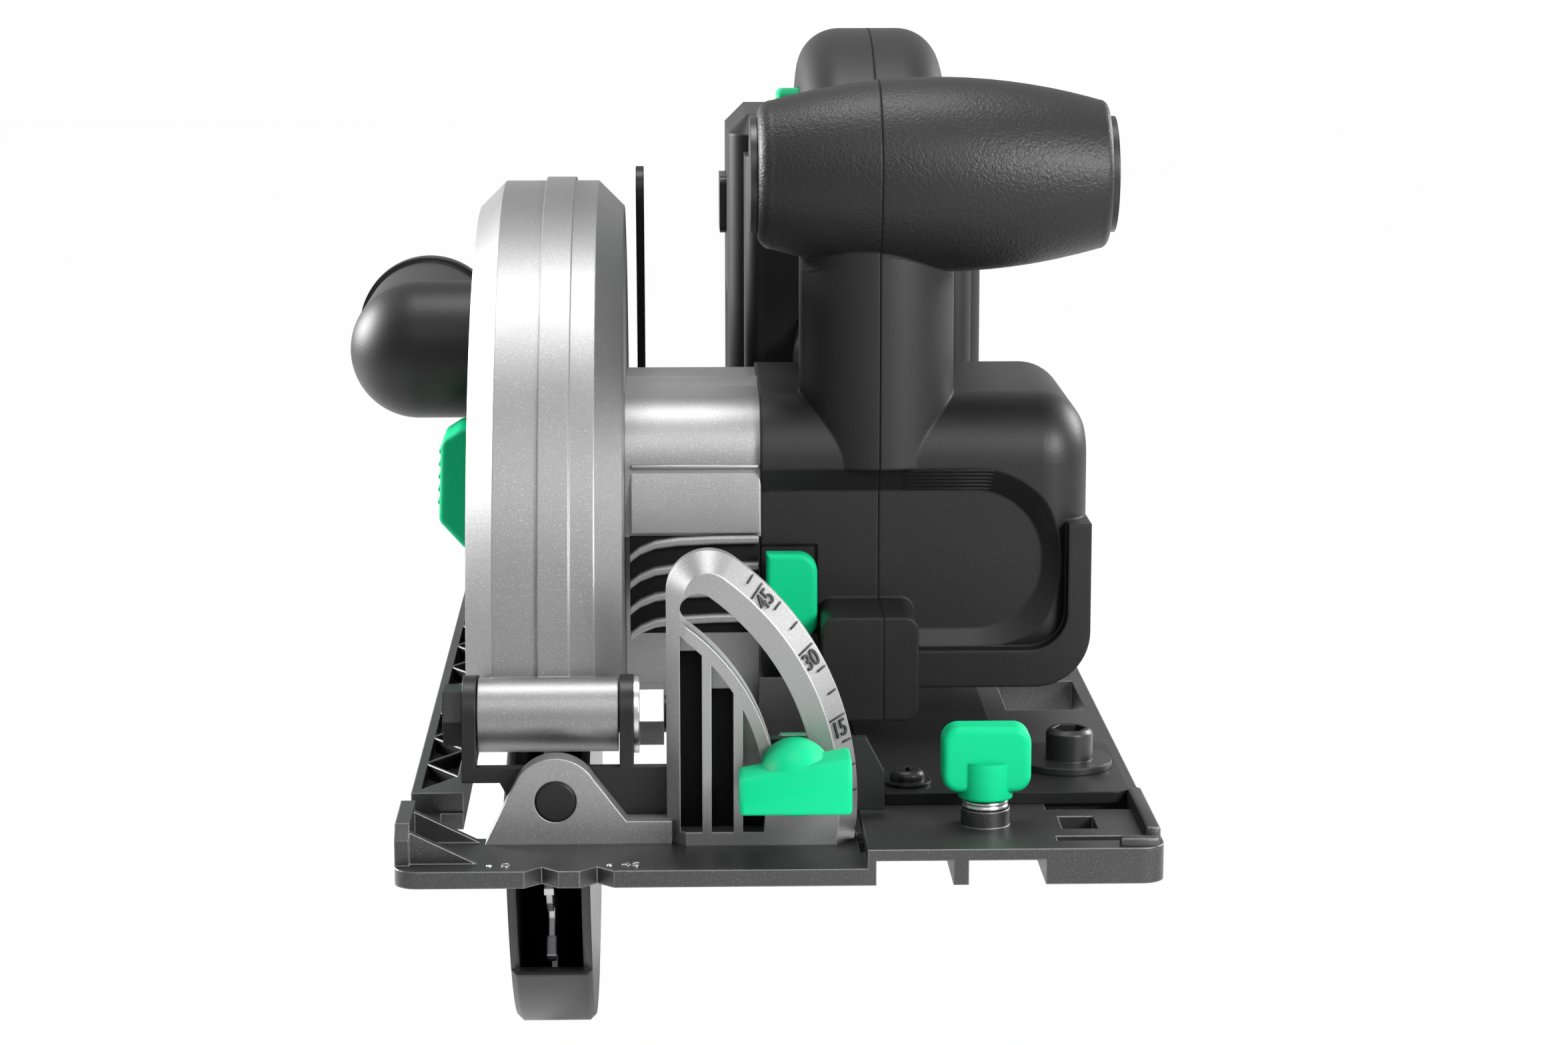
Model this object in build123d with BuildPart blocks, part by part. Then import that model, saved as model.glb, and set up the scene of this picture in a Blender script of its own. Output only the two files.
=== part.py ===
"""Cordless circular saw with a 190 mm blade, tilting sole and battery pack.

Frame: the origin lies on the sole plane, under the arbor, in the blade's plane.
+X runs from the blade to the motor, +Y to the rear, +Z up. Sizes are millimetres.
"""
import math
import os

from build123d import *

# Driving dimensions: blade and drive
blade_radius = 95.0
blade_plate = 1.4
blade_kerf = 2.2
blade_bore_radius = 10.0
tooth_count = 24
arbor_height = 29.0
gear_module = 1.0
gear_teeth = 36
pinion_teeth = 10

# Driving dimensions: sole
sole_left = -30.0
sole_right = 130.0
sole_front_reach = 50.0
sole_rear_reach = 50.0
sole_thickness = 3.6
sole_corner = 5.0
raised_left = 68.0
raised_height = 7.6
rail_groove_width = 16.0
rail_groove_depth = 5.2
rail_groove_web = 3.2
ear_notch_left = -23.0
ear_notch_right = 6.0
ear_notch_ahead = 11.4
ear_notch_behind = 10.0
opening_left = -18.0
opening_right = 46.0
opening_reach = 17.0
edge_rail_height = 4.4
fence_bar_width = 16.5
fence_bar_height = 3.4
fence_slot_floor = 1.4

# Driving dimensions: bevel hinge and quadrant
bevel_x = 3.0
bevel_z = 13.0
bevel_pin_radius = 4.4
lug_radius = 9.3
lug_thickness = 6.0
front_lug_ahead = 11.0
rear_lug_reach = 23.0
quadrant_depth = 8.0
quadrant_radius = 64.0
quadrant_left = 26.5
bevel_slot_radius = 51.0
bevel_slot_half = 4.0
bevel_bolt_radius = 3.0
bevel_bolt_rest = 8.0
bevel_range = 45.0

# Driving dimensions: depth pivot and depth arm
depth_pivot_reach = 12.0
depth_pivot_z = 28.0
depth_range = 35.0
depth_barrel_radius = 8.0
depth_bolt_radius = 4.0
depth_arm_reach = 93.0
depth_arm_half = 6.0
depth_arm_rest = -4.5
depth_arm_thickness = 2.0

# Driving dimensions: guards
guard_half_width = 17.0
guard_wall = 2.6
guard_tip_gap = 6.4
lower_guard_half_width = 9.3
lower_guard_wall = 2.0
lower_guard_tip_gap = 1.6
arbor_boss_radius = 24.0

# Driving dimensions: body
gear_case_end = 48.6
motor_seam = 76.0
motor_end = 125.0
motor_depth = 80.0
motor_height = 68.0
motor_corner = 15.0
handle_width = 34.0

# Clearances
seat_gap = 0.05
running_gap = 0.3

# Places that follow from the sizes above
arbor_z = arbor_height
sole_front = -blade_radius - sole_front_reach
sole_rear = blade_radius + sole_rear_reach
opening_front = -blade_radius - opening_reach
opening_rear = blade_radius + opening_reach
depth_pivot_y = -blade_radius - depth_pivot_reach
depth_arm_radius = blade_radius + depth_arm_reach
ear_notch_front = depth_pivot_y - ear_notch_ahead
ear_notch_rear = depth_pivot_y + ear_notch_behind
front_lug_rear = depth_pivot_y - front_lug_ahead
rear_lug_front = blade_radius + rear_lug_reach
gear_centres = gear_module * (gear_teeth + pinion_teeth) / 2
motor_z = arbor_z + gear_centres
sole_width = sole_right - sole_left
sole_length = sole_rear - sole_front
sole_mid_x = (sole_left + sole_right) / 2
sole_mid_y = (sole_front + sole_rear) / 2
opening_mid_x = (opening_left + opening_right) / 2
opening_mid_y = (opening_front + opening_rear) / 2
guard_outer = blade_radius + guard_tip_gap + guard_wall
guard_inner = blade_radius + guard_tip_gap
lower_guard_inner = blade_radius + lower_guard_tip_gap
lower_guard_outer = lower_guard_inner + lower_guard_wall


def front_plane(y):
    """A sketch plane facing the front: local x is +X, local y is +Z."""
    return Plane(origin=(0, y, 0), x_dir=(1, 0, 0), z_dir=(0, -1, 0))


def side_plane(x):
    """A sketch plane across the arbor: local x is +Y, local y is +Z."""
    return Plane.YZ.offset(x)


def polar(centre, radius, degrees):
    """A point at an angle round a centre."""
    turn = math.radians(degrees)
    return (centre[0] + radius * math.cos(turn), centre[1] + radius * math.sin(turn))


def keep(builder, name):
    """Label a finished piece and write it as its own file."""
    builder.part.label = name
    export_step(builder.part, f"parts/{name}.step")


os.makedirs("parts", exist_ok=True)

# Sole: a cast plate with a blade opening, raised along the motor side
sight_notch = 5.0
sight_line_zero = 0.5
sight_line_45 = 12.0
groove_one_x = raised_left + 1.8 + rail_groove_width / 2
groove_two_x = groove_one_x + rail_groove_width + rail_groove_web
block_left = groove_two_x + rail_groove_width / 2
fence_x = 94.0
fence_inset = 21.0
fence_y = sole_front + fence_inset
fence_boss_radius = 5.2
fence_boss_height = 3.6
fence_screw_radius = 3.0
pocket_depth = 6.0
tab_thickness = 3.0
tab_height = 12.0
tab_length = 27.0
gusset_thickness = 1.8
gusset_reach = 14.0
window_front = -20.0
window_rear = 120.0
window_wall = 3.0
window_mid_x = (block_left + sole_right) / 2
window_width = sole_right - block_left - 2 * window_wall
window_ribs = 4
rail_cam_x = 116.0
rail_cam_y = -84.0
rail_cam_pin_radius = 4.0
insert_height = 2.6
insert_top = raised_height + insert_height

with BuildPart() as base_plate:
    with BuildSketch():
        with Locations((sole_mid_x, sole_mid_y)):
            RectangleRounded(sole_width, sole_length, sole_corner)
        with Locations((opening_mid_x, opening_mid_y)):
            RectangleRounded(
                opening_right - opening_left, opening_rear - opening_front, sole_corner,
                mode=Mode.SUBTRACT,
            )
        # room for the pivot ear when the saw is tilted
        with Locations(((ear_notch_left + ear_notch_right) / 2, (ear_notch_front + ear_notch_rear) / 2)):
            Rectangle(
                ear_notch_right - ear_notch_left, ear_notch_rear - ear_notch_front, mode=Mode.SUBTRACT,
            )
    extrude(amount=sole_thickness)
    with BuildSketch():
        with Locations((sole_mid_x, sole_mid_y)):
            RectangleRounded(sole_width, sole_length, sole_corner)
        with Locations((raised_left - sole_width / 2, sole_mid_y)):
            Rectangle(sole_width, sole_length, mode=Mode.SUBTRACT)
    extrude(amount=raised_height)
    with BuildSketch():
        for groove_x in (groove_one_x, groove_two_x):
            with Locations((groove_x, sole_mid_y)):
                Rectangle(rail_groove_width, sole_length)
    extrude(amount=rail_groove_depth, mode=Mode.SUBTRACT)
    # the fence bar slides in from the motor side, under the clamp screw
    with BuildSketch(side_plane(raised_left - 1)):
        with Locations((fence_y, fence_slot_floor + fence_bar_height / 2)):
            Rectangle(fence_bar_width, fence_bar_height)
    extrude(amount=sole_right - raised_left + 2, mode=Mode.SUBTRACT)
    with BuildSketch(Plane.XY.offset(raised_height)):
        with Locations((fence_x, fence_y)):
            Circle(fence_boss_radius)
    extrude(amount=fence_boss_height)
    with Locations((fence_x, fence_y, raised_height + fence_boss_height)):
        Hole(fence_screw_radius + running_gap, depth=fence_boss_height + raised_height - rail_groove_depth)
    # lightening pockets beside the clamp, and a ribbed window at the rear
    with BuildSketch(Plane.XY.offset(raised_height)):
        with Locations((window_mid_x, fence_y - fence_bar_width / 2 - 4.6)):
            Rectangle(window_width, 4.0)
        with Locations((window_mid_x, fence_y + fence_bar_width / 2 + 6.6)):
            Rectangle(window_width, 8.0)
    extrude(amount=-pocket_depth, mode=Mode.SUBTRACT)
    with BuildSketch(Plane.XY.offset(raised_height)):
        with Locations((window_mid_x - window_width / 4 + 1, fence_y)):
            Rectangle(window_width / 2 - 2, fence_bar_width - 6)
    extrude(amount=fence_slot_floor + fence_bar_height - raised_height, mode=Mode.SUBTRACT)
    window_pitch = (window_rear - window_front) / window_ribs
    with BuildSketch():
        for bay in range(window_ribs):
            with Locations((window_mid_x, window_front + (bay + 0.5) * window_pitch)):
                Rectangle(window_width, window_pitch - window_wall)
    extrude(amount=raised_height, mode=Mode.SUBTRACT)
    # upturned tab with two gussets at the front corner beside the blade
    with BuildSketch(side_plane(sole_left)):
        with BuildLine():
            Polyline(
                (sole_front + sole_corner, 0), (sole_front + sole_corner, tab_height - 3),
                (sole_front + sole_corner + 3, tab_height), (sole_front + tab_length, tab_height),
                (sole_front + tab_length, 0), close=True,
            )
        make_face()
    extrude(amount=tab_thickness)
    for gusset_y in (sole_front + sole_corner + 3, sole_front + tab_length - 2):
        with BuildSketch(front_plane(gusset_y)):
            with BuildLine():
                Polyline(
                    (sole_left + tab_thickness, sole_thickness),
                    (sole_left + tab_thickness, tab_height - 1.5),
                    (sole_left + tab_thickness + gusset_reach, sole_thickness), close=True,
                )
            make_face()
        extrude(amount=gusset_thickness)
    # sight notches for straight and mitred cuts
    with BuildSketch():
        for sight_x in (sight_line_zero, sight_line_45):
            with Locations((sight_x, sole_front)):
                Rectangle(sight_notch, sight_notch, rotation=45)
    extrude(amount=sole_thickness, mode=Mode.SUBTRACT)
    # hole for the guide cam
    with Locations((rail_cam_x, rail_cam_y, raised_height)):
        Hole(rail_cam_pin_radius + seat_gap)
keep(base_plate, "base_plate")

# Ribbed edge rail beside the blade
edge_rail_wall = 2.0
edge_rail_rib = 1.2
edge_rail_bays = 9
edge_rail_front = depth_pivot_y + 11.0
edge_rail_rear = sole_rear - 8.0
edge_rail_left = sole_left + 0.6
with BuildPart() as edge_rail:
    rail_width = opening_left - edge_rail_left
    rail_length = edge_rail_rear - edge_rail_front
    rail_mid_x = (edge_rail_left + opening_left) / 2
    rail_mid_y = (edge_rail_front + edge_rail_rear) / 2
    with BuildSketch(Plane.XY.offset(sole_thickness)):
        with Locations((rail_mid_x, rail_mid_y)):
            Rectangle(rail_width, rail_length)
    extrude(amount=edge_rail_height)
    # triangular pockets leave zigzag ribs between the two walls
    pocket_left = edge_rail_left + edge_rail_wall
    pocket_right = opening_left - edge_rail_wall
    bay_length = (rail_length - 2 * edge_rail_wall) / edge_rail_bays
    with BuildSketch(Plane.XY.offset(sole_thickness + edge_rail_height)):
        for bay in range(edge_rail_bays):
            bay_start = edge_rail_front + edge_rail_wall + bay * bay_length
            bay_end = bay_start + bay_length
            with BuildLine():
                Polyline(
                    (pocket_left, bay_start + edge_rail_rib), (pocket_left, bay_end - edge_rail_rib),
                    (pocket_right, bay_start + bay_length / 2), close=True,
                )
            make_face()
            if bay < edge_rail_bays - 1:
                with BuildLine():
                    Polyline(
                        (pocket_right, bay_start + bay_length / 2 + edge_rail_rib),
                        (pocket_right, bay_end + bay_length / 2 - edge_rail_rib),
                        (pocket_left, bay_end), close=True,
                    )
                make_face()
    extrude(amount=1.0 - edge_rail_height, mode=Mode.SUBTRACT)
keep(edge_rail, "edge_rail")

# Bevel quadrant: pivot lug, scale rim, curved slot and vertical ribs in one casting
bevel_axis = (bevel_x, bevel_z)
quadrant_front = front_lug_rear - quadrant_depth
slot_start = bevel_bolt_rest - 4.0
slot_end = bevel_bolt_rest + bevel_range + 0.5
channel_width = 4.6
channel_pitch = 6.6
channel_count = 4
channel_depth = 5.2
scale_chamfer = 5.0
web_height = 8.0
with BuildPart() as bevel_quadrant:
    with BuildSketch(front_plane(front_lug_rear)):
        with Locations(bevel_axis):
            Circle(quadrant_radius)
        with Locations((bevel_x, sole_thickness - quadrant_radius)):
            Rectangle(2 * quadrant_radius, 2 * quadrant_radius, mode=Mode.SUBTRACT)
        with Locations((quadrant_left - quadrant_radius, bevel_z)):
            Rectangle(2 * quadrant_radius, 3 * quadrant_radius, mode=Mode.SUBTRACT)
    extrude(amount=quadrant_depth)
    crown = bevel_quadrant.edges().filter_by(Axis.Y).sort_by(Axis.Z)[-1]
    fillet(crown, radius=9.0)
    rim = bevel_quadrant.edges().filter_by(GeomType.CIRCLE).group_by(Axis.Y)[0].sort_by(Edge.length)[-1]
    chamfer(rim, length=scale_chamfer - 1.0, length2=scale_chamfer)
    with BuildSketch(front_plane(quadrant_front - 1)):
        with BuildLine() as slot_line:
            CenterArc(bevel_axis, bevel_slot_radius, slot_start, slot_end - slot_start)
        SlotArc(slot_line.edge(), 2 * bevel_slot_half)
    extrude(amount=-quadrant_depth - 2, mode=Mode.SUBTRACT)
    # vertical channels below the slot
    with BuildSketch(front_plane(quadrant_front)):
        for number in range(channel_count):
            channel_x = quadrant_left + 5.2 + number * channel_pitch
            with Locations((channel_x, sole_thickness + 3 + quadrant_radius / 2)):
                Rectangle(channel_width, quadrant_radius)
        with Locations(bevel_axis):
            Circle(bevel_slot_radius - bevel_slot_half - 2.6, mode=Mode.INTERSECT)
    extrude(amount=-channel_depth, mode=Mode.SUBTRACT)
    # pivot lug and the low web that joins it to the quadrant
    with BuildSketch(front_plane(front_lug_rear)):
        with BuildLine():
            Polyline(
                (bevel_x - 15, sole_thickness), polar(bevel_axis, lug_radius, 150),
                polar(bevel_axis, lug_radius, 30), (bevel_x + 15, sole_thickness + web_height - 3),
                (quadrant_left + 1, sole_thickness + web_height - 3), (quadrant_left + 1, sole_thickness),
                close=True,
            )
        make_face()
        with Locations(bevel_axis):
            Circle(lug_radius)
            Circle(bevel_pin_radius + seat_gap, mode=Mode.SUBTRACT)
    extrude(amount=lug_thickness)
keep(bevel_quadrant, "bevel_quadrant")

# Rear hinge lug, seated on the sole
with BuildPart() as rear_lug:
    with BuildSketch(front_plane(rear_lug_front + lug_thickness)):
        with BuildLine():
            Polyline(
                (bevel_x - 15, sole_thickness), polar(bevel_axis, lug_radius, 150),
                polar(bevel_axis, lug_radius, 30), (bevel_x + 15, sole_thickness), close=True,
            )
        make_face()
        with Locations(bevel_axis):
            Circle(lug_radius)
            Circle(bevel_pin_radius + seat_gap, mode=Mode.SUBTRACT)
    extrude(amount=lug_thickness)
keep(rear_lug, "rear_hinge_lug")

# Bevel pins, pressed into the lugs and running in the two brackets
bracket_thickness = 3.0
front_bracket_front = front_lug_rear + running_gap
front_bracket_rear = front_bracket_front + bracket_thickness
rear_bracket_rear = rear_lug_front - running_gap
rear_bracket_front = rear_bracket_rear - bracket_thickness
pin_gap = 0.06
for pin_name, pin_front, pin_rear in (
    ("bevel_pin_front", front_lug_rear - lug_thickness - 0.4, front_bracket_rear + 1.0),
    ("bevel_pin_rear", rear_bracket_front - 1.0, rear_lug_front + lug_thickness + 0.4),
):
    with BuildPart() as bevel_pin:
        with BuildSketch(front_plane(pin_rear)):
            with Locations(bevel_axis):
                Circle(bevel_pin_radius)
        extrude(amount=pin_rear - pin_front)
        chamfer(bevel_pin.edges(), length=0.4)
    keep(bevel_pin, pin_name)

# Front bracket: steel plate behind the quadrant, with two ears for the depth pivot
ear_radius = 8.6
ear_thickness = 3.0
barrel_left = -13.8
barrel_right = 16.2
left_ear_x = barrel_left - running_gap - ear_thickness
right_ear_x = barrel_right + running_gap
bracket_floor = 6.0
bracket_top = depth_pivot_z - depth_barrel_radius - 1.2
bracket_right = bevel_x + quadrant_radius + 6.0
bevel_bolt_place = polar(bevel_axis, bevel_slot_radius, bevel_bolt_rest)
pointer_height = 8.0
pointer_floor = raised_height + 1.5
depth_pivot = (depth_pivot_y, depth_pivot_z)
ear_floor = 15.6
with BuildPart() as front_bracket:
    with BuildSketch(front_plane(front_bracket_rear)):
        with BuildLine():
            Polyline(
                (left_ear_x, ear_floor), (bevel_x - 12, ear_floor), (bevel_x - 7, bracket_floor),
                (raised_left - 4, bracket_floor), (raised_left - 3, pointer_floor),
                (bracket_right, pointer_floor), (bracket_right, pointer_floor + pointer_height),
                (bracket_right - 4, bracket_top + 6), (bevel_bolt_place[0] - 10, bracket_top + 6),
                (bevel_bolt_place[0] - 16, bracket_top), (left_ear_x, bracket_top), close=True,
            )
        make_face()
        with Locations(bevel_axis):
            Circle(bevel_pin_radius + pin_gap, mode=Mode.SUBTRACT)
        with Locations(bevel_bolt_place):
            Circle(bevel_bolt_radius + seat_gap, mode=Mode.SUBTRACT)
    extrude(amount=bracket_thickness)
    for ear_x in (left_ear_x, right_ear_x):
        with BuildSketch(side_plane(ear_x)):
            with BuildLine():
                Polyline(
                    (front_bracket_front, ear_floor),
                    (depth_pivot_y + ear_radius, depth_pivot_z - 6),
                    (depth_pivot_y + ear_radius, depth_pivot_z),
                    (depth_pivot_y - ear_radius, depth_pivot_z),
                    (front_bracket_front, bracket_top), close=True,
                )
            make_face()
            with Locations(depth_pivot):
                Circle(ear_radius)
                Circle(depth_bolt_radius + seat_gap, mode=Mode.SUBTRACT)
        extrude(amount=ear_thickness)
keep(front_bracket, "front_bracket")

# Depth pivot bolt with hex head, washer face and hex nut
bolt_head_height = 4.2
bolt_head_radius = 7.0
nut_height = 6.5
washer_thickness = 1.2
with BuildPart() as depth_pivot_bolt:
    with BuildSketch(side_plane(left_ear_x - bolt_head_height)):
        with Locations(depth_pivot):
            RegularPolygon(bolt_head_radius, 6)
    extrude(amount=bolt_head_height)
    with BuildSketch(side_plane(left_ear_x)):
        with Locations(depth_pivot):
            Circle(depth_bolt_radius)
    extrude(amount=right_ear_x + ear_thickness + nut_height + 2.0 - left_ear_x)
keep(depth_pivot_bolt, "depth_pivot_bolt")
with BuildPart() as depth_pivot_nut:
    nut_start = right_ear_x + ear_thickness
    with BuildSketch(side_plane(nut_start)):
        with Locations(depth_pivot):
            Circle(bolt_head_radius + 1.4)
            Circle(depth_bolt_radius + seat_gap, mode=Mode.SUBTRACT)
    extrude(amount=washer_thickness)
    with BuildSketch(side_plane(nut_start + washer_thickness)):
        with Locations(depth_pivot):
            RegularPolygon(bolt_head_radius, 6)
            Circle(depth_bolt_radius + seat_gap, mode=Mode.SUBTRACT)
    extrude(amount=nut_height - washer_thickness)
keep(depth_pivot_nut, "depth_pivot_nut")

# Bevel clamp bolt, its washer and the wing knob
clamp_washer = 1.5
clamp_washer_radius = 6.5
bevel_stud_reach = 15.0
with BuildPart() as bevel_bolt:
    with BuildSketch(front_plane(front_bracket_rear + 3.0)):
        with Locations(bevel_bolt_place):
            RegularPolygon(5.4, 6)
    extrude(amount=3.0)
    with BuildSketch(front_plane(front_bracket_rear)):
        with Locations(bevel_bolt_place):
            Circle(bevel_bolt_radius)
    extrude(amount=bracket_thickness + running_gap + quadrant_depth + bevel_stud_reach)
keep(bevel_bolt, "bevel_clamp_bolt")
knob_face = quadrant_front - running_gap - clamp_washer
with BuildPart() as bevel_washer:
    with BuildSketch(front_plane(quadrant_front - running_gap)):
        with Locations(bevel_bolt_place):
            Circle(clamp_washer_radius)
            Circle(bevel_bolt_radius + seat_gap, mode=Mode.SUBTRACT)
    extrude(amount=clamp_washer)
keep(bevel_washer, "bevel_clamp_washer")
wing_length = 23.0
wing_tilt = 9.0
wing_height = 12.0
knob_depth = 17.0
knob_hub_radius = 7.6
knob_step = 5.0
with BuildPart() as bevel_knob:
    with BuildSketch(front_plane(knob_face)):
        with Locations(bevel_bolt_place):
            Circle(knob_hub_radius)
    extrude(amount=knob_depth - knob_step)
    fillet(bevel_knob.edges().group_by(Axis.Y)[0], radius=3.0)
    with BuildSketch(front_plane(knob_face - 3.0)):
        with Locations(Location((bevel_bolt_place[0], bevel_bolt_place[1], 0), (0, 0, wing_tilt))):
            RectangleRounded(wing_length, wing_height * 0.72, 3.0)
    extrude(amount=knob_depth - 3.0)
    crown = bevel_knob.edges().group_by(Axis.Y)[0]
    fillet(crown, radius=2.0)
    with Locations(Plane(origin=(bevel_bolt_place[0], knob_face, bevel_bolt_place[1]), z_dir=(0, 1, 0))):
        Hole(bevel_bolt_radius + pin_gap, depth=knob_depth - 2.0)
keep(bevel_knob, "bevel_knob")

# Rear bracket and the depth arm that it carries
arm_x = guard_half_width + 2.4
arm_slot_half = 3.1
arm_bottom = depth_arm_rest - 1.3
arm_top = depth_arm_rest + depth_range + 1.0
arm_slot_start = depth_arm_rest - 0.2
foot_rear = rear_bracket_front
foot_floor = 8.0
foot_top = 27.0
rivet_radius = 2.5
rivet_places = [(foot_rear - 4.5, foot_floor + 4.5), (foot_rear - 4.5, foot_top - 4.5)]
with BuildPart() as depth_arm:
    with BuildSketch(side_plane(arm_x)):
        with BuildLine() as arm_line:
            CenterArc(depth_pivot, depth_arm_radius, arm_bottom, arm_top - arm_bottom)
        SlotArc(arm_line.edge(), 2 * depth_arm_half)
        with Locations(((depth_pivot_y + depth_arm_radius + foot_rear) / 2, (foot_floor + foot_top) / 2)):
            Rectangle(foot_rear - depth_pivot_y - depth_arm_radius, foot_top - foot_floor)
        with BuildLine() as arm_slot:
            CenterArc(depth_pivot, depth_arm_radius, arm_slot_start, depth_range + 0.4)
        SlotArc(arm_slot.edge(), 2 * arm_slot_half, mode=Mode.SUBTRACT)
        with Locations(*rivet_places):
            Circle(rivet_radius + seat_gap, mode=Mode.SUBTRACT)
    extrude(amount=depth_arm_thickness)
keep(depth_arm, "depth_arm")
with BuildPart() as rear_bracket:
    with BuildSketch(front_plane(rear_bracket_rear)):
        with BuildLine():
            Polyline(
                (bevel_x - 9, bevel_z), (bevel_x - 6, bracket_floor), (arm_x + 12, bracket_floor),
                (arm_x + 12, foot_top), (bevel_x + 4, foot_top), (bevel_x - 9, bevel_z + 5), close=True,
            )
        make_face()
        with Locations(bevel_axis):
            Circle(bevel_pin_radius + pin_gap, mode=Mode.SUBTRACT)
    extrude(amount=bracket_thickness)
    with BuildSketch(side_plane(arm_x + depth_arm_thickness)):
        with Locations((foot_rear - 5.0, (foot_floor + foot_top) / 2)):
            Rectangle(12.0, foot_top - foot_floor)
        with Locations(*rivet_places):
            Circle(rivet_radius + seat_gap, mode=Mode.SUBTRACT)
    extrude(amount=bracket_thickness)
keep(rear_bracket, "rear_bracket")
with BuildPart() as arm_rivets:
    with BuildSketch(side_plane(arm_x)):
        with Locations(*rivet_places):
            Circle(rivet_radius)
    extrude(amount=depth_arm_thickness + bracket_thickness)
    with BuildSketch(side_plane(arm_x + depth_arm_thickness + bracket_thickness)):
        with Locations(*rivet_places):
            Circle(rivet_radius + 1.4)
    extrude(amount=1.2)
keep(arm_rivets, "depth_arm_rivets")

# Fence clamp: threaded stud, spring and wing knob
fence_top = raised_height + fence_boss_height
fence_spring_height = 2.4
fence_spring_wire = 0.5
fence_spring_pitch = 0.95
fence_spring_radius = fence_screw_radius + 1.4
fence_knob_z = fence_top + fence_spring_height
fence_wing_width = 18.8
fence_wing_height = 14.2
fence_wing_thickness = 8.0
with BuildPart() as fence_screw:
    with BuildSketch(Plane.XY.offset(fence_slot_floor + fence_bar_height + 0.4)):
        with Locations((fence_x, fence_y)):
            Circle(fence_screw_radius)
    extrude(amount=fence_knob_z + 8.0 - fence_slot_floor - fence_bar_height - 0.4)
keep(fence_screw, "fence_clamp_screw")
with BuildPart() as fence_spring:
    with BuildSketch(front_plane(fence_y)):
        for turn in range(2):
            turn_z = fence_top + fence_spring_wire + seat_gap + turn * fence_spring_pitch
            with Locations((fence_x + fence_spring_radius, turn_z)):
                Circle(fence_spring_wire)
    revolve(axis=Axis((fence_x, fence_y, 0), (0, 0, 1)))
keep(fence_spring, "fence_clamp_spring")
with BuildPart() as fence_knob:
    with BuildSketch(Plane.XY.offset(fence_knob_z)):
        with Locations((fence_x, fence_y)):
            Circle(fence_wing_thickness * 0.72)
    extrude(amount=8.0)
    with BuildSketch(front_plane(fence_y + fence_wing_thickness / 2)):
        with Locations((fence_x, fence_knob_z + 1.5 + fence_wing_height / 2)):
            RectangleRounded(fence_wing_width, fence_wing_height, 3.6)
    extrude(amount=fence_wing_thickness)
    fillet(fence_knob.edges().group_by(Axis.Z)[-1], radius=1.5)
    with Locations(Plane(origin=(fence_x, fence_y, fence_knob_z), z_dir=(0, 0, -1))):
        Hole(fence_screw_radius, depth=8.0)
keep(fence_knob, "fence_knob")

# Black top plate on the raised side, its screws and the guide cam
insert_left = raised_left + 2.0
insert_front = -108.0
insert_rear = 60.0
cam_lobe_radius = 10.3
insert_right = 102.0
insert_wide_right = 127.0
insert_wide_rear = -62.0
cam_neck_radius = 5.2
cam_neck_height = 7.0
cam_plate_height = 1.6
insert_screw_places = [(insert_left + 9.0, insert_front + 9.0), (insert_left + 9.0, insert_rear - 9.0)]
with BuildPart() as sole_insert:
    with BuildSketch(Plane.XY.offset(raised_height)):
        with Locations(((insert_left + insert_right) / 2, (insert_front + insert_rear) / 2)):
            RectangleRounded(insert_right - insert_left, insert_rear - insert_front, 4.0)
        with Locations(((insert_left + insert_wide_right) / 2, (insert_front + insert_wide_rear) / 2)):
            RectangleRounded(insert_wide_right - insert_left, insert_wide_rear - insert_front, 4.0)
        with Locations((rail_cam_x, rail_cam_y)):
            Circle(rail_cam_pin_radius + running_gap, mode=Mode.SUBTRACT)
        with Locations(*insert_screw_places):
            Circle(2.0 + seat_gap, mode=Mode.SUBTRACT)
    extrude(amount=insert_height)
keep(sole_insert, "sole_top_plate")
with BuildPart() as insert_screws:
    with BuildSketch(Plane.XY.offset(raised_height)):
        with Locations(*insert_screw_places):
            Circle(2.0)
    extrude(amount=insert_height)
    with BuildSketch(Plane.XY.offset(insert_top)):
        with Locations(*insert_screw_places):
            Circle(5.2)
    extrude(amount=0.8)
    with BuildSketch(Plane.XY.offset(insert_top + 0.8)):
        with Locations(*insert_screw_places):
            Circle(3.8)
    extrude(amount=2.4)
    fillet(insert_screws.edges().group_by(Axis.Z)[-1], radius=1.6)
    with BuildSketch(Plane.XY.offset(insert_top + 3.2)):
        with Locations(*insert_screw_places):
            Rectangle(4.0, 0.9)
            Rectangle(0.9, 4.0)
    extrude(amount=-1.2, mode=Mode.SUBTRACT)
keep(insert_screws, "top_plate_screws")
with BuildPart() as rail_cam:
    with BuildSketch(Plane.XY.offset(0.6)):
        with Locations((rail_cam_x, rail_cam_y)):
            Circle(rail_cam_pin_radius)
    extrude(amount=insert_top - 0.6 + seat_gap)
    with BuildSketch(Plane.XY.offset(insert_top + seat_gap)):
        with Locations((rail_cam_x - 0.8, rail_cam_y)):
            Circle(cam_lobe_radius)
    extrude(amount=cam_plate_height)
    with BuildSketch(Plane.XY.offset(insert_top + cam_plate_height)):
        with Locations((rail_cam_x, rail_cam_y)):
            Circle(cam_neck_radius)
    extrude(amount=cam_neck_height)
    chamfer(rail_cam.edges().group_by(Axis.Z)[-1], length=0.8)
    with BuildSketch(Plane.XY.offset(insert_top + cam_plate_height + cam_neck_height)):
        with Locations((rail_cam_x, rail_cam_y)):
            RegularPolygon(3.7, 6)
    extrude(amount=-6.0, mode=Mode.SUBTRACT)
keep(rail_cam, "guide_cam")


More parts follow.
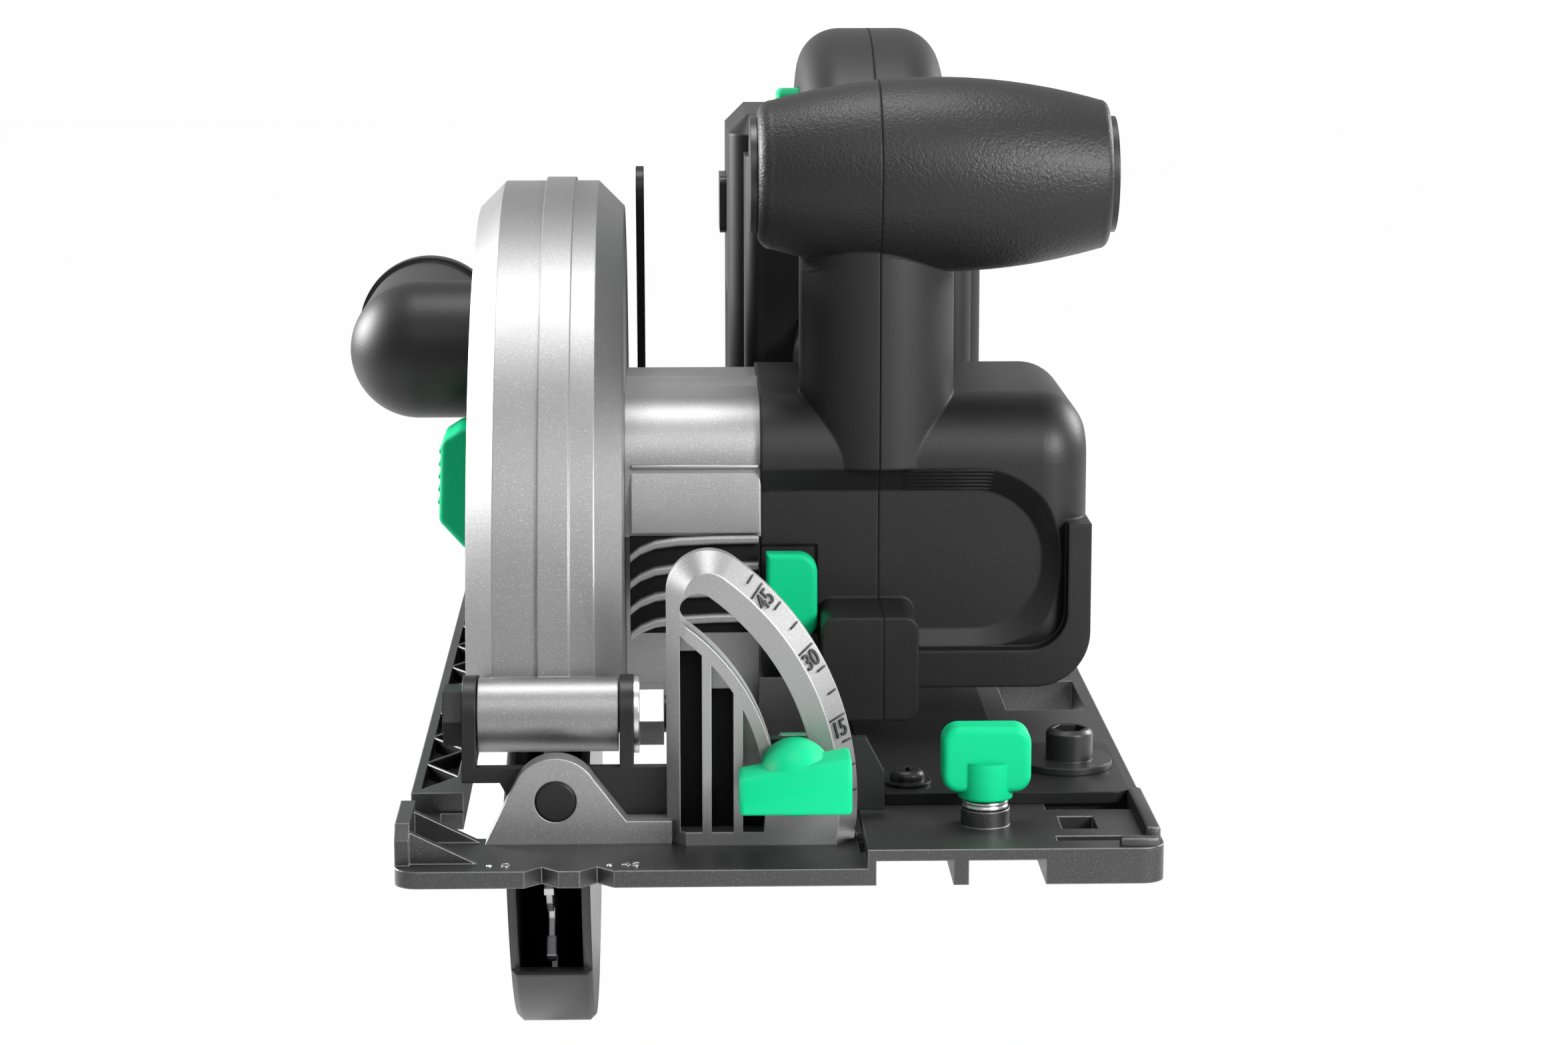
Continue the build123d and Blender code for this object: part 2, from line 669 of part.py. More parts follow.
# Guards turn about the arbor: angles run from the front, up over the top to the rear
def arbor_plane(degrees):
    """A half-plane through the arbor: local x is +X, local y is the radius."""
    turn = math.radians(degrees)
    normal = (0, -math.sin(turn), -math.cos(turn))
    return Plane(origin=(0, 0, arbor_z), x_dir=(1, 0, 0), z_dir=normal)


guard_axis = Axis((0, 0, arbor_z), (-1, 0, 0))
arbor = (0, arbor_z)
motor = (0, motor_z)

# Upper guard: a cast shell round the top of the blade, with the depth barrel at its front
guard_start = -0.5
guard_arc = 181.0
guard_shoulder = 6.0
guard_window_radius = 70.0
band_left = -1.2
band_right = 5.6
band_height = 0.9
clamp_place = polar(depth_pivot, depth_arm_radius, depth_arm_rest)
clamp_bolt_radius = 2.8
clamp_lug_radius = 9.0
dust_reach = 86.0
dust_neck_radius = 12.0
dust_radius = 17.6
dust_wall = 2.0
dust_place = polar((0, arbor_z), dust_reach, 40)
half_inner = guard_half_width - guard_wall
with BuildPart() as upper_guard:
    with BuildSketch(arbor_plane(guard_start)):
        with BuildLine():
            Polyline(
                (-guard_half_width, guard_window_radius), (-guard_half_width, guard_outer - guard_shoulder),
                (guard_shoulder - guard_half_width, guard_outer), (band_left, guard_outer),
                (band_left, guard_outer + band_height), (band_right, guard_outer + band_height),
                (band_right, guard_outer), (guard_half_width - guard_shoulder, guard_outer),
                (guard_half_width, guard_outer - guard_shoulder),
                (guard_half_width, arbor_boss_radius + seat_gap),
                (half_inner, arbor_boss_radius + seat_gap),
                (half_inner, guard_inner - guard_shoulder + 1),
                (half_inner - guard_shoulder + 1, guard_inner),
                (guard_shoulder - 1 - half_inner, guard_inner),
                (-half_inner, guard_inner - guard_shoulder + 1),
                (-half_inner, guard_window_radius), close=True,
            )
        make_face()
    revolve(axis=guard_axis, revolution_arc=guard_arc)
    # room for the bracket's ears, then the front barrel for the depth pivot bolt
    for ear_room_x in (-2 * guard_half_width + barrel_left, barrel_right):
        with BuildSketch(side_plane(ear_room_x)):
            with Locations(depth_pivot):
                Circle(ear_radius + 1.0)
        extrude(amount=2 * guard_half_width, mode=Mode.SUBTRACT)
    with BuildSketch(side_plane(barrel_left)):
        with Locations(depth_pivot):
            Circle(depth_barrel_radius)
    extrude(amount=barrel_right - barrel_left)
    with BuildSketch(side_plane(barrel_left - 1)):
        with Locations(depth_pivot):
            Circle(depth_bolt_radius + pin_gap)
    extrude(amount=barrel_right - barrel_left + 2, mode=Mode.SUBTRACT)
    # rear lug for the depth clamp
    with BuildSketch(side_plane(half_inner)):
        with Locations(clamp_place):
            Circle(clamp_lug_radius)
        with Locations((clamp_place[0] - 3, clamp_place[1] + 24)):
            Circle(clamp_lug_radius)
        make_hull()
        with Locations(clamp_place):
            Circle(clamp_bolt_radius + seat_gap, mode=Mode.SUBTRACT)
    extrude(amount=arm_x - running_gap - half_inner)
    # dust outlet through the outer wall
    with BuildSketch(side_plane(-guard_half_width - 1)):
        with Locations(dust_place):
            Circle(dust_neck_radius - dust_wall)
    extrude(amount=guard_wall + 2, mode=Mode.SUBTRACT)
keep(upper_guard, "upper_guard")

# Lower guard: a shell round the lower blade that turns on the arbor boss
rim_front = -46.0
rim_arc = 150.0
cheek_front = -14.0
hub_rim = 3.5
lower_half = lower_guard_half_width
lower_half_inner = lower_guard_half_width - lower_guard_wall
cheek_inner = 32.0
cover_radius = guard_window_radius - 1.0
hub_bore = arbor_boss_radius + running_gap
rim_start = 180 - rim_front
cheek_start = 180 - cheek_front
cheek_arc = rim_start + rim_arc - cheek_start
cheek_outer = lower_guard_inner + 0.6
guard_sectors = (
    (-lower_half, 2 * lower_half, lower_guard_outer, lower_guard_inner, rim_start, rim_arc),
    (lower_half_inner, lower_guard_wall, cheek_outer, hub_bore + 1.0, cheek_start, cheek_arc),
    (-lower_half, lower_guard_wall, cheek_outer, cheek_inner, cheek_start, cheek_arc),
)
with BuildPart() as lower_guard:
    # rim, then the two cheeks, which run on ahead of the rim
    for start_x, thickness, outer, inner, start, arc in guard_sectors:
        with BuildSketch(side_plane(start_x)):
            with BuildLine():
                far_arc = CenterArc(arbor, outer, start, arc)
                near_arc = CenterArc(arbor, inner, start, arc)
                Line(far_arc @ 0, near_arc @ 0)
                Line(far_arc @ 1, near_arc @ 1)
            make_face()
        extrude(amount=thickness)
    # round cover plate on the outer side, open at the blade bolt
    with BuildSketch(side_plane(-lower_half)):
        with Locations(arbor):
            Circle(cover_radius)
            Circle(cheek_inner + 1.0, mode=Mode.SUBTRACT)
    extrude(amount=lower_guard_wall)
    rim_edges = lower_guard.edges().filter_by(GeomType.CIRCLE).filter_by(
        lambda edge: abs(edge.radius - lower_guard_outer) < 0.01
    )
    chamfer(rim_edges, length=1.4)
    # hub ring on the motor side
    with BuildSketch(side_plane(lower_half_inner)):
        with Locations(arbor):
            Circle(hub_bore + hub_rim)
            Circle(hub_bore, mode=Mode.SUBTRACT)
    extrude(amount=lower_guard_wall)
keep(lower_guard, "lower_guard")

# Blade
gullet_depth = 10.5
tip_length = 5.0
tip_thickness = 2.0
slot_width = 1.2
slot_depth = 16.0


def blade_outline():
    """Hooked teeth with deep gullets: radius drop and angle share of each point on a tooth."""
    shape = ((0.0, 0.0), (1.6, 0.24), (4.6, 0.52), (gullet_depth, 0.80), (gullet_depth - 1.5, 0.93))
    pitch = 360 / tooth_count
    points = []
    for tooth in range(tooth_count):
        for drop, share in shape:
            points.append(polar(arbor, blade_radius - tip_thickness * 0.2 - drop, (tooth + share) * pitch))
    return points


with BuildPart() as saw_blade:
    with BuildSketch(side_plane(-blade_plate / 2)):
        with BuildLine():
            Polyline(*blade_outline(), close=True)
        make_face()
        with Locations(arbor):
            Circle(blade_bore_radius + seat_gap, mode=Mode.SUBTRACT)
            with PolarLocations(blade_radius - gullet_depth - slot_depth / 2 + 1, 4, start_angle=13):
                SlotOverall(slot_depth, slot_width, mode=Mode.SUBTRACT)
    extrude(amount=blade_plate)
    with BuildSketch(side_plane(-blade_kerf / 2)):
        with Locations(arbor):
            with PolarLocations(blade_radius - tip_length / 2, tooth_count):
                Rectangle(tip_length, tip_thickness)
    extrude(amount=blade_kerf)
keep(saw_blade, "saw_blade")

# Flanges, bolt and arbor
flange_radius = 20.0
flange_relief = 1.0
arbor_radius = 7.5
inner_flange_end = 6.2
outer_flange_end = -5.2
arbor_end = 47.0
blade_bolt_radius = 4.0
half_plate = blade_plate / 2


def ring(start, end, outer, inner, centre=arbor, mode=Mode.ADD):
    """A plain ring along the arbor direction, joined to or cut from the part being built."""
    with BuildSketch(side_plane(start)) as profile:
        with Locations(centre):
            Circle(outer)
            if inner > 0:
                Circle(inner, mode=Mode.SUBTRACT)
    extrude(profile.sketch, amount=end - start, mode=mode)


with BuildPart() as inner_flange:
    ring(half_plate + flange_relief, inner_flange_end, flange_radius, arbor_radius + seat_gap)
    ring(half_plate, half_plate + flange_relief, flange_radius, flange_radius - 5)
    ring(-half_plate, half_plate + flange_relief, blade_bore_radius, arbor_radius + seat_gap)
keep(inner_flange, "inner_flange")
with BuildPart() as outer_flange:
    ring(outer_flange_end, -half_plate - flange_relief, flange_radius, arbor_radius + seat_gap)
    ring(-half_plate - flange_relief, -half_plate, flange_radius, flange_radius - 5)
    chamfer(outer_flange.faces().sort_by(Axis.X)[0].outer_wire().edges(), length=1.5)
keep(outer_flange, "outer_flange")
with BuildPart() as blade_bolt:
    ring(outer_flange_end - 1.6, outer_flange_end, 10.5, 0)
    with BuildSketch(side_plane(outer_flange_end - 7.0)):
        with Locations(arbor):
            RegularPolygon(7.5, 6)
    extrude(amount=5.4)
    ring(outer_flange_end, 12.0, blade_bolt_radius, 0)
keep(blade_bolt, "blade_bolt")
with BuildPart() as arbor_shaft:
    ring(outer_flange_end + 0.6, arbor_end, arbor_radius, 0)
    with BuildSketch(side_plane(outer_flange_end)):
        with Locations(arbor):
            Circle(blade_bolt_radius + seat_gap)
    extrude(amount=18.0, mode=Mode.SUBTRACT)
keep(arbor_shaft, "arbor_shaft")

# Reduction gears: the pinion cut on the rotor shaft drives the arbor gear
pressure_angle = math.radians(20)
profile_shift = 0.4
tooth_addendum = 0.9
tooth_dedendum = 1.15
tooth_backlash = 0.12
gear_start = 24.0
gear_end = 36.0


def involute(angle):
    """The involute function of an angle."""
    return math.tan(angle) - angle


def gear_outline(teeth, shift, centre, first_tooth):
    """Involute teeth round a centre, with straight roots below the base circle."""
    pitch_radius = gear_module * teeth / 2
    base_radius = pitch_radius * math.cos(pressure_angle)
    tip_radius = pitch_radius + gear_module * (shift + tooth_addendum)
    root_radius = pitch_radius + gear_module * (shift - tooth_dedendum)
    thickness = gear_module * (math.pi / 2 + 2 * shift * math.tan(pressure_angle)) - tooth_backlash
    start_radius = max(base_radius, root_radius + 0.05)
    flank = [(root_radius, start_radius)]
    for step in range(4):
        radius = start_radius + (tip_radius - start_radius) * step / 3
        flank.append((radius, radius))
    points = []
    for tooth in range(teeth):
        middle = first_tooth + 360 * tooth / teeth
        rising = []
        for radius, angle_radius in flank:
            lean = involute(math.acos(min(1.0, base_radius / angle_radius)))
            half = thickness / (2 * pitch_radius) + involute(pressure_angle) - lean
            rising.append((radius, math.degrees(half)))
        points += [polar(centre, radius, middle - half) for radius, half in rising]
        points += [polar(centre, radius, middle + half) for radius, half in reversed(rising)]
    return points


with BuildPart() as drive_gear:
    with BuildSketch(side_plane(gear_start)):
        with BuildLine():
            Polyline(*gear_outline(gear_teeth, -profile_shift, arbor, 90 + 180 / gear_teeth), close=True)
        make_face()
        with Locations(arbor):
            Circle(arbor_radius + seat_gap, mode=Mode.SUBTRACT)
    extrude(amount=gear_end - gear_start)
keep(drive_gear, "drive_gear")

# Rotor: shaft with the pinion, magnet core and fan, turning in two bearings
shaft_radius = 4.0
pinion_end = 38.0
shaft_start = 22.0
shaft_end = 117.0
rotor_start = 66.0
rotor_end = 100.0
rotor_radius = 15.0
stator_inner = rotor_radius + 0.6
stator_outer = 27.0
fan_start = 52.0
fan_end = 59.0
fan_radius = 26.0
fan_blades = 11
with BuildPart() as rotor_shaft:
    with BuildSketch(side_plane(shaft_start)):
        with BuildLine():
            Polyline(*gear_outline(pinion_teeth, profile_shift, motor, 270), close=True)
        make_face()
    extrude(amount=pinion_end - shaft_start)
    ring(pinion_end, shaft_end, shaft_radius, 0, motor)
keep(rotor_shaft, "rotor_shaft")
with BuildPart() as rotor_core:
    ring(rotor_start, rotor_end, rotor_radius, shaft_radius + seat_gap, motor)
    chamfer(rotor_core.edges().filter_by(GeomType.CIRCLE).sort_by(Edge.length)[-2:], length=1.0)
keep(rotor_core, "rotor_core")
with BuildPart() as cooling_fan:
    ring(fan_start, fan_start + 2.0, fan_radius, shaft_radius + seat_gap, motor)
    ring(fan_start, fan_end, 9.0, shaft_radius + seat_gap, motor)
    with BuildSketch(side_plane(fan_start + 2.0)):
        with Locations(motor):
            with PolarLocations((fan_radius + 9.0) / 2, fan_blades):
                Rectangle(fan_radius - 9.6, 1.6, rotation=14)
    extrude(amount=fan_end - fan_start - 2.0)
keep(cooling_fan, "cooling_fan")
stator_teeth = 6
stator_start = rotor_start - 2.0
stator_end = rotor_end + 2.0
with BuildPart() as stator:
    ring(stator_start, stator_end, stator_outer, stator_outer - 4.5, motor)
    with BuildSketch(side_plane(stator_start)):
        with Locations(motor):
            with PolarLocations((stator_inner + stator_outer - 4.0) / 2, stator_teeth):
                Rectangle(stator_outer - 4.0 - stator_inner, 5.0)
            Circle(stator_inner, mode=Mode.SUBTRACT)
    extrude(amount=stator_end - stator_start)
keep(stator, "stator")
coil_overhang = 4.0
with BuildPart() as stator_coils:
    with BuildSketch(side_plane(stator_start - coil_overhang)):
        with Locations(motor):
            with PolarLocations((stator_inner + stator_outer - 4.5) / 2, stator_teeth):
                RectangleRounded(stator_outer - 7.2 - stator_inner, 10.0, 1.2)
                Rectangle(stator_outer, 5.1, mode=Mode.SUBTRACT)
    extrude(amount=stator_end - stator_start + 2 * coil_overhang)
    for cap_start in (stator_start - coil_overhang, stator_end + 0.05):
        with BuildSketch(side_plane(cap_start)):
            with Locations(motor):
                with PolarLocations((stator_inner + stator_outer - 4.5) / 2, stator_teeth):
                    Rectangle(stator_outer - 7.2 - stator_inner, 5.2)
        extrude(amount=coil_overhang - 0.05)
keep(stator_coils, "stator_coils")

# Ball bearings: outer ring, inner ring and the shield between them, as one piece each
arbor_bearing_radius = 16.0
arbor_bearing_start = 8.6
arbor_bearing_end = 17.0
arbor_tail_radius = 10.5
arbor_tail_start = 39.0
motor_bearing_radius = 10.5
motor_bearing_start = 41.0
motor_bearing_end = 48.0
motor_tail_start = 108.0
motor_tail_end = 115.0


def bearing(start, end, outer, inner, centre):
    """A shielded ball bearing: a ring with a shallow groove in each face."""
    ring(start, end, outer, inner, centre)
    middle = (outer + inner) / 2
    groove = (outer - inner) * 0.22
    for face, depth in ((start, 0.6), (end, -0.6)):
        with BuildSketch(side_plane(face)) as shield:
            with Locations(centre):
                Circle(middle + groove)
                Circle(middle - groove, mode=Mode.SUBTRACT)
        extrude(shield.sketch, amount=depth, mode=Mode.SUBTRACT)


bearing_fits = (
    ("arbor_bearing", arbor_bearing_start, arbor_bearing_end, arbor_bearing_radius, arbor_radius, arbor),
    ("arbor_tail_bearing", arbor_tail_start, arbor_end, arbor_tail_radius, arbor_radius, arbor),
    ("motor_bearing", motor_bearing_start, motor_bearing_end, motor_bearing_radius, shaft_radius, motor),
    ("motor_tail_bearing", motor_tail_start, motor_tail_end, motor_bearing_radius, shaft_radius, motor),
)
for bearing_name, start, end, outer, inner, centre in bearing_fits:
    with BuildPart() as ball_bearing:
        bearing(start, end, outer, inner + pin_gap, centre)
    keep(ball_bearing, bearing_name)

# Gear case: cast housing between the guard and the motor, with cooling ribs at the front
gear_case_start = guard_half_width + seat_gap
gear_case_radius = 34.0
nose_radius = arbor_boss_radius
nose_start = 7.0
rib_slots = 4
rib_slot_height = 3.5
rib_slot_pitch = 6.1
rib_slot_floor = 31.5
rib_slot_depth = 7.0
case_depth = 76.0
case_height = 66.0
case_step = 2.0
with BuildPart() as gear_case:
    with BuildSketch(side_plane(gear_case_start)):
        with Locations(motor):
            Circle(gear_case_radius)
        with Locations(arbor):
            Circle(nose_radius + 1)
        make_hull()
    extrude(amount=gear_case_end - gear_case_start)
    # squared upper part that lines up with the motor barrel
    with BuildSketch(side_plane(gear_case_start)):
        with Locations(motor):
            RectangleRounded(case_depth, case_height, motor_corner - 1)
        with Locations((0, motor_z + case_step - case_height / 2)):
            Rectangle(case_depth, case_height, mode=Mode.SUBTRACT)
    extrude(amount=gear_case_end - gear_case_start)
    ring(nose_start, gear_case_start, nose_radius, 0)
    # room for the gears and seats for the bearings
    with BuildSketch(side_plane(arbor_bearing_end)):
        with Locations(arbor):
            Circle(gear_module * gear_teeth / 2 + 1.6)
        with Locations(motor):
            Circle(gear_module * pinion_teeth / 2 + 2.4)
    extrude(amount=arbor_tail_start - arbor_bearing_end, mode=Mode.SUBTRACT)
    for seat_start, seat_end, seat_radius, seat_centre in (
        (nose_start - 1, arbor_bearing_start, arbor_radius + 2.0, arbor),
        (arbor_bearing_start, arbor_bearing_end, arbor_bearing_radius + seat_gap, arbor),
        (arbor_tail_start - 1, arbor_end + 0.2, arbor_tail_radius + seat_gap, arbor),
        (arbor_tail_start - 1, gear_case_end + 1, motor_bearing_radius + seat_gap, motor),
    ):
        with BuildSketch(side_plane(seat_start)):
            with Locations(seat_centre):
                Circle(seat_radius)
        extrude(amount=seat_end - seat_start, mode=Mode.SUBTRACT)
    with BuildSketch(front_plane(-gear_case_radius - 1)):
        for slot in range(rib_slots):
            slot_mid_x = (gear_case_start + gear_case_end) / 2
            with Locations((slot_mid_x, rib_slot_floor + slot * rib_slot_pitch)):
                Rectangle(gear_case_end - gear_case_start - 5.0, rib_slot_height)
    extrude(amount=-rib_slot_depth - 4.0, mode=Mode.SUBTRACT)
keep(gear_case, "gear_case")

# Body shell: motor barrel, neck, cross grip, main handle and battery foot, split at the seam
shell_start = gear_case_end + seat_gap
grip_y = -28.0
grip_z = 137.0
grip_left = 48.0
grip_right = 129.0
grip_end_radius = 17.2
grip_mid_radius = 22.0
neck_width = 36.0
neck_depth = 40.0
foot_rear_y = 78.0
foot_depth = 20.0
foot_width = 58.0
foot_floor_z = 62.0
foot_top_z = 138.0
handle_half = handle_width / 2
handle_crown = 168.0
hand_hole_length = 62.0
hand_hole_height = 42.0
hand_hole_y = 27.0
hand_hole_z = 112.0
handle_round = 10.0
trigger_y = 15.0
trigger_length = 22.0
trigger_width = 20.0
trigger_floor = 121.0
trigger_top = 139.0
trigger_travel = 6.0
switch_floor = trigger_top + trigger_travel + 1.0
switch_length = 34.0
switch_height = 12.0
switch_left = 70.0
switch_right = 86.0
lockoff_y = 12.0
lockoff_z = 151.0
lockoff_size = (11.0, 6.5)
lockoff_proud = 5.4
lockoff_travel = 4.0
lockoff_depth = 6.0
boss_left = 62.0
boss_right = 84.0
boss_floor = 15.0
boss_top = 39.0
boss_front = -60.0
motor_bore = stator_outer + seat_gap
fan_bore = fan_radius + 2.4
lock_pad_left = gear_case_end + 1.0
lock_pad_right = 61.4
lock_pad_floor = 31.0
lock_pad_top = 51.4
lock_pad_front = -47.0
lock_pad_rear = -42.5
lock_travel = 3.0
lock_pin_x = 55.5
lock_pin_z = 41.2
lock_pin_radius = 2.4
board_size = (24.0, 10.0, 18.0)
board_place = (motor_seam, 52.0, 75.0)
rail_width = 30.0
rail_neck = 3.0
rail_head = 3.5
rail_floor = 68.0
rail_top = 128.0
terminal_size = (12.0, 18.0, 20.0)
terminal_place = (motor_seam, foot_rear_y + rail_neck + rail_head - 9.0, 90.0)
cap_plug = 7.0
cap_plug_radius = 8.0
cap_thickness = 1.6
cap_radius = 13.4
screw_radius = 1.8
screw_head_radius = 3.2
screw_head = 2.4
shell_screws = (
    (-22.0, 100.0, 88.0, 26.0), (45.0, 146.5, 88.0, 26.0), (66.0, 118.0, 98.0, 36.0),
    (-29.0, motor_z - 22.0, 110.0, 50.0), (29.0, motor_z + 22.0, 110.0, 50.0),
)
panel_left = 30.0
panel_right = 119.6
panel_floor = 26.0
panel_top = 70.0
panel_corner = 21.5
panel_recess = 3.2
panel_slope = 60.0
frame_left = 66.0
frame_floor = 19.0
frame_top = 90.0
frame_inner_right = 119.7
frame_inner_floor = 27.7
frame_end_z = 57.4
frame_root = -25.0
frame_proud = 3.4
vent_length = 34.0
vent_width = 3.4
vent_depth = 4.0
handle_left = motor_seam - handle_half

with BuildPart() as body_shell:
    with BuildSketch(side_plane(handle_left)):
        with BuildLine():
            Polyline(
                (-26, 150), (-22, 112), (-24, foot_floor_z), (foot_rear_y, foot_floor_z),
                (foot_rear_y, foot_top_z), (62, 153),
            )
            ThreePointArc((62, 153), (14, handle_crown), (-26, 150))
        make_face()
        with Locations((hand_hole_y, hand_hole_z)):
            RectangleRounded(hand_hole_length, hand_hole_height, 15, mode=Mode.SUBTRACT)
    extrude(amount=handle_width)
    hole_front = hand_hole_y - hand_hole_length / 2 - 1
    hole_floor = hand_hole_z - hand_hole_height / 2 - 1
    hole_edges = body_shell.edges().filter_by(Axis.X, reverse=True)
    hole_edges = hole_edges.filter_by_position(Axis.Y, hole_front, foot_rear_y - 15)
    hole_edges = hole_edges.filter_by_position(Axis.Z, hole_floor, hand_hole_z + 30)
    fillet(hole_edges, radius=handle_round)
    crown_edges = body_shell.edges().filter_by(GeomType.CIRCLE).sort_by(SortBy.LENGTH)[-2:]
    fillet(crown_edges, radius=handle_round)
    # battery foot
    with BuildSketch(Plane.XY.offset(foot_floor_z)):
        with Locations((motor_seam, foot_rear_y - foot_depth / 2)):
            RectangleRounded(foot_width, foot_depth, 5)
    extrude(amount=foot_top_z - 4 - foot_floor_z)
    # motor barrel
    with BuildSketch(side_plane(shell_start)):
        with Locations(motor):
            RectangleRounded(motor_depth, motor_height, motor_corner)
    extrude(amount=motor_end - shell_start)
    fillet(body_shell.faces().sort_by(Axis.X)[-1].edges(), radius=11)
    # recessed front panel, raised corner frame and end vents
    with BuildSketch(front_plane(-motor_depth / 2)):
        with Locations(((panel_left + panel_right) / 2, (panel_floor + panel_top) / 2)):
            RectangleRounded(panel_right - panel_left, panel_top - panel_floor, panel_corner)
    extrude(amount=-panel_recess, taper=panel_slope, mode=Mode.SUBTRACT)
    with BuildSketch(front_plane(frame_root)):
        with Locations(((frame_left + motor_end) / 2, (frame_floor + frame_top) / 2)):
            RectangleRounded(motor_end - frame_left, frame_top - frame_floor, 13)
        with Locations(((frame_left + frame_inner_right) / 2 - 4, (frame_inner_floor + frame_top) / 2 + 4)):
            frame_hole = (frame_inner_right - frame_left + 8, frame_top - frame_inner_floor + 8)
            RectangleRounded(*frame_hole, 9, mode=Mode.SUBTRACT)
        with Locations((motor_end, frame_end_z + 20)):
            Rectangle(40, 40, mode=Mode.SUBTRACT)
        with Locations((frame_left + 8, frame_floor + 20)):
            Rectangle(16, 60, mode=Mode.SUBTRACT)
    extrude(amount=frame_root + motor_depth / 2 + frame_proud)
    with BuildSketch(side_plane(motor_end)):
        with Locations(motor):
            with GridLocations(8.0, 0, 6, 1):
                SlotOverall(vent_length, vent_width, rotation=90)
    extrude(amount=-vent_depth, mode=Mode.SUBTRACT)
    # neck and cross grip
    with BuildSketch(Plane.XY.offset(motor_z + 18)):
        with Locations((motor_seam, grip_y + 6)):
            RectangleRounded(neck_width, neck_depth, 17.9)
    extrude(amount=grip_z - motor_z - 18)
    with BuildSketch(front_plane(grip_y)):
        with BuildLine():
            left_shoulder = (grip_left + 3.5, grip_z + grip_end_radius)
            right_shoulder = (grip_right - 2.0, grip_z + grip_end_radius)
            left_edge = (grip_left, grip_z + grip_end_radius - 3.5)
            right_edge = (grip_right, grip_z + grip_end_radius - 2.0)
            ThreePointArc(left_shoulder, (motor_seam + 2, grip_z + grip_mid_radius), right_shoulder)
            RadiusArc(left_edge, left_shoulder, 3.6)
            RadiusArc(right_shoulder, right_edge, 2.1)
            Polyline(right_edge, (grip_right, grip_z), (grip_left, grip_z), left_edge)
        make_face()
    revolve(axis=Axis((0, grip_y, grip_z), (1, 0, 0)))
    # lower front screw boss
    with BuildSketch(front_plane(-motor_depth / 2 + 4)):
        with Locations(((boss_left + boss_right) / 2, (boss_floor + boss_top) / 2)):
            RectangleRounded(boss_right - boss_left, boss_top - boss_floor, 3)
    extrude(amount=-motor_depth / 2 + 4 - boss_front)
    # bores for fan, stator and tail bearing
    for bore_start, bore_end, bore_radius in (
        (shell_start - 1, stator_start - 1.0, fan_bore), (stator_start - 1.0, stator_end + 1.0, motor_bore),
        (stator_end + 1.0, motor_tail_start, motor_bore - 2.0),
        (motor_tail_start, motor_tail_end + 0.2, motor_bearing_radius + seat_gap),
        (motor_tail_end, shaft_end + 1.0, shaft_radius + 1.0),
    ):
        with BuildSketch(side_plane(bore_start)):
            with Locations(motor):
                Circle(bore_radius)
        extrude(amount=bore_end - bore_start, mode=Mode.SUBTRACT)
    # pockets for trigger, switch, lock-off button, shaft lock and control board
    pockets = (
        ((motor_seam, trigger_y, (trigger_floor + switch_floor) / 2 + 2), trigger_width + 2 * running_gap,
         trigger_length + 2 * running_gap, switch_floor - trigger_floor + 4),
        (((switch_left + switch_right) / 2, trigger_y + 4, switch_floor + switch_height / 2),
         switch_right - switch_left + 2 * seat_gap, switch_length + 2 * seat_gap,
         switch_height + 2 * seat_gap),
        ((handle_left + lockoff_depth / 2 + lockoff_travel / 2 - 1, lockoff_y, lockoff_z),
         lockoff_depth + lockoff_travel + 2, lockoff_size[0] + 2 * running_gap,
         lockoff_size[1] + 2 * running_gap),
        (((lock_pad_left + lock_pad_right) / 2 - 4, lock_pad_rear + lock_travel / 2 + 1.5,
          (lock_pad_floor + lock_pad_top) / 2),
         lock_pad_right - lock_pad_left + 8 + 2 * running_gap, lock_travel + 4,
         lock_pad_top - lock_pad_floor + 2 * running_gap),
        (board_place, board_size[0] + 2 * seat_gap, board_size[1] + 2 * seat_gap,
         board_size[2] + 2 * seat_gap),
    )
    for pocket_place, size_x, size_y, size_z in pockets:
        with Locations(pocket_place):
            Box(size_x, size_y, size_z, mode=Mode.SUBTRACT)
    with BuildSketch(front_plane(lock_pad_rear)):
        with Locations((lock_pin_x, lock_pin_z)):
            Circle(lock_pin_radius + pin_gap)
    extrude(amount=-17.0, mode=Mode.SUBTRACT)
    # rail for the battery, sockets for the grip caps and holes for the screws
    with BuildSketch(Plane.XY.offset(rail_floor)):
        with Locations((motor_seam, foot_rear_y + rail_neck / 2 - 1)):
            Rectangle(rail_width - 8, rail_neck + 2)
        with Locations((motor_seam, foot_rear_y + rail_neck + rail_head / 2)):
            Rectangle(rail_width, rail_head)
    extrude(amount=rail_top - rail_floor)
    with Locations(terminal_place):
        Box(*[size + 2 * seat_gap for size in terminal_size], mode=Mode.SUBTRACT)
    for socket_start in (grip_left - 1, grip_right - cap_plug - 0.2):
        socket_end = socket_start + cap_plug + 1.2
        ring(socket_start, socket_end, cap_plug_radius + seat_gap, 0, (grip_y, grip_z), Mode.SUBTRACT)
    for screw_y, screw_z, head_x, length in shell_screws:
        ring(head_x, motor_end + 10, screw_head_radius + running_gap, 0, (screw_y, screw_z), Mode.SUBTRACT)
        ring(head_x - length - 0.2, head_x, screw_radius + seat_gap, 0, (screw_y, screw_z), Mode.SUBTRACT)
seam_plane = Plane.YZ.offset(motor_seam)
with BuildPart() as housing_left:
    add(body_shell.part)
    split(bisect_by=seam_plane, keep=Keep.BOTTOM)
keep(housing_left, "housing_left")
with BuildPart() as housing_right:
    add(body_shell.part)
    split(bisect_by=seam_plane, keep=Keep.TOP)
keep(housing_right, "housing_right")

with BuildPart() as shell_fasteners:
    for screw_y, screw_z, head_x, length in shell_screws:
        ring(head_x - length, head_x + 1.0, screw_radius, 0, (screw_y, screw_z))
        ring(head_x + seat_gap, head_x + seat_gap + screw_head, screw_head_radius, 0, (screw_y, screw_z))
keep(shell_fasteners, "housing_screws")

